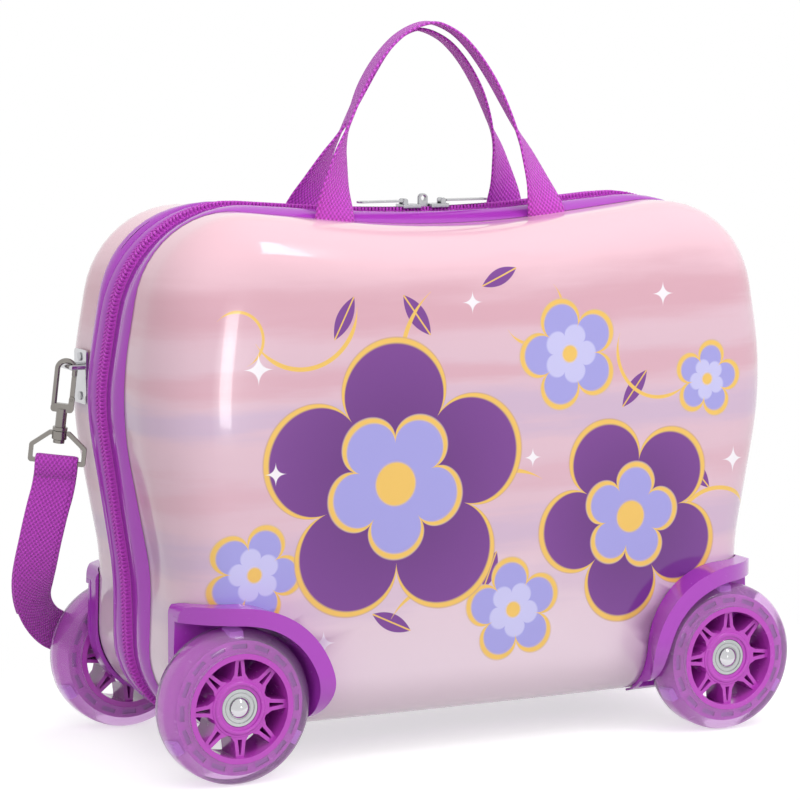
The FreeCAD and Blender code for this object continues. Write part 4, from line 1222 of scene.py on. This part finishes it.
class CASE_OT_stage(bpy.types.Operator):
    """Sets the floor, the lamps and the camera"""

    bl_idname = "case.stage"
    bl_label = "Stage"

    def studio_world(self):
        """White to look at, and a plain soft light on the case."""
        world = bpy.data.worlds.new("studio")
        world.use_nodes = True
        studio = Finish.__new__(Finish)
        studio.tree = world.node_tree
        background = studio.tree.nodes["Background"]
        background.inputs["Color"].default_value = (1, 1, 1, 1)
        studio.feed(background.inputs["Strength"], seen_directly(studio) * (1 - WORLD_LIGHT) + WORLD_LIGHT)
        return world

    def lamp(self, name, place, target, size, power, gleams=False):
        data = bpy.data.lights.new(name, "AREA")
        data.shape = "RECTANGLE"
        data.size, data.size_y = size
        data.energy = power
        lamp = bpy.data.objects.new(name, data)
        lamp.visible_glossy = gleams
        bpy.context.scene.collection.objects.link(lamp)
        way = Vector(target) - Vector(place)
        lamp.matrix_world = Matrix.Translation(place) @ way.to_track_quat("-Z", "Y").to_matrix().to_4x4()

    def execute(self, context):
        scene = context.scene
        scene.view_settings.view_transform = "Standard"
        bm = bmesh.new()
        bmesh.ops.create_grid(bm, x_segments=1, y_segments=1, size=FLOOR_HALF)
        floor = finish_mesh(bm, "studio_floor")
        floor.data.materials.append(floor_finish(colours().floor))
        scene.world = self.studio_world()
        self.lamp("key_softbox", (-1.6, -2.2, 2.4), (0, 0, 0.2), (3.0, 3.0), 40)
        self.lamp("top_softbox", (0.3, -0.2, 2.6), (0, 0, 0.2), (3.4, 2.8), 26)
        self.lamp("fill_softbox", (1.9, -2.2, 1.2), (0, 0, 0.2), (1.8, 1.8), 19)
        self.lamp("low_strip", (0.172, -1.2, 0.15), (-0.18, -0.085, 0.25), (0.06, 0.16), 0.34, True)
        self.lamp("high_strip", (0.5, -0.98, 1.47), (0.5, -0.07, 0.31), (0.26, 0.66), 4.0, True)
        yaw, pitch, roll = CAMERA_YAW, CAMERA_PITCH, CAMERA_ROLL
        forward = Vector((math.sin(yaw) * math.cos(pitch), math.cos(yaw) * math.cos(pitch), -math.sin(pitch)))
        right = Vector((math.cos(yaw), -math.sin(yaw), 0))
        up = right.cross(forward)
        right, up = (
            right * math.cos(roll) + up * math.sin(roll), up * math.cos(roll) - right * math.sin(roll)
        )
        data = bpy.data.cameras.new("photo_camera")
        data.lens = CAMERA_LENS
        data.sensor_width = CAMERA_SENSOR
        data.clip_end = 4 * FLOOR_HALF
        camera = bpy.data.objects.new("photo_camera", data)
        scene.collection.objects.link(camera)
        turn = Matrix((right, up, -forward)).transposed().to_4x4()
        camera.matrix_world = Matrix.Translation(CAMERA_PLACE) @ turn
        scene.camera = camera
        return {"FINISHED"}


class CASE_PT_panel(bpy.types.Panel):
    """Lists the settings and the pieces in the sidebar"""

    bl_idname = "CASE_PT_panel"
    bl_label = "Ride-on case"
    bl_space_type = "VIEW_3D"
    bl_region_type = "UI"
    bl_category = "Ride-on case"

    def draw(self, context):
        layout = self.layout
        for group in (context.scene.case_sizes, context.scene.case_colours):
            for key in group.__annotations__:
                layout.prop(group, key)
        for operator in OPERATORS:
            layout.operator(operator.bl_idname)


OPERATORS = (
    CASE_OT_shells, CASE_OT_frames, CASE_OT_zip, CASE_OT_linings, CASE_OT_housings, CASE_OT_wheels,
    CASE_OT_carry_loops, CASE_OT_fittings, CASE_OT_shoulder_strap, CASE_OT_stage,
)
CLASSES = (CaseColours, CaseSizes, *OPERATORS, CASE_PT_panel)


def register():
    for cls in CLASSES:
        bpy.utils.register_class(cls)
    bpy.types.Scene.case_colours = bpy.props.PointerProperty(type=CaseColours)
    bpy.types.Scene.case_sizes = bpy.props.PointerProperty(type=CaseSizes)


def unregister():
    del bpy.types.Scene.case_sizes
    del bpy.types.Scene.case_colours
    for cls in reversed(CLASSES):
        bpy.utils.unregister_class(cls)


def main():
    register()
    for operator in OPERATORS:
        group, name = operator.bl_idname.split(".")
        getattr(getattr(bpy.ops, group), name)()


if __name__ == "__main__":
    main()
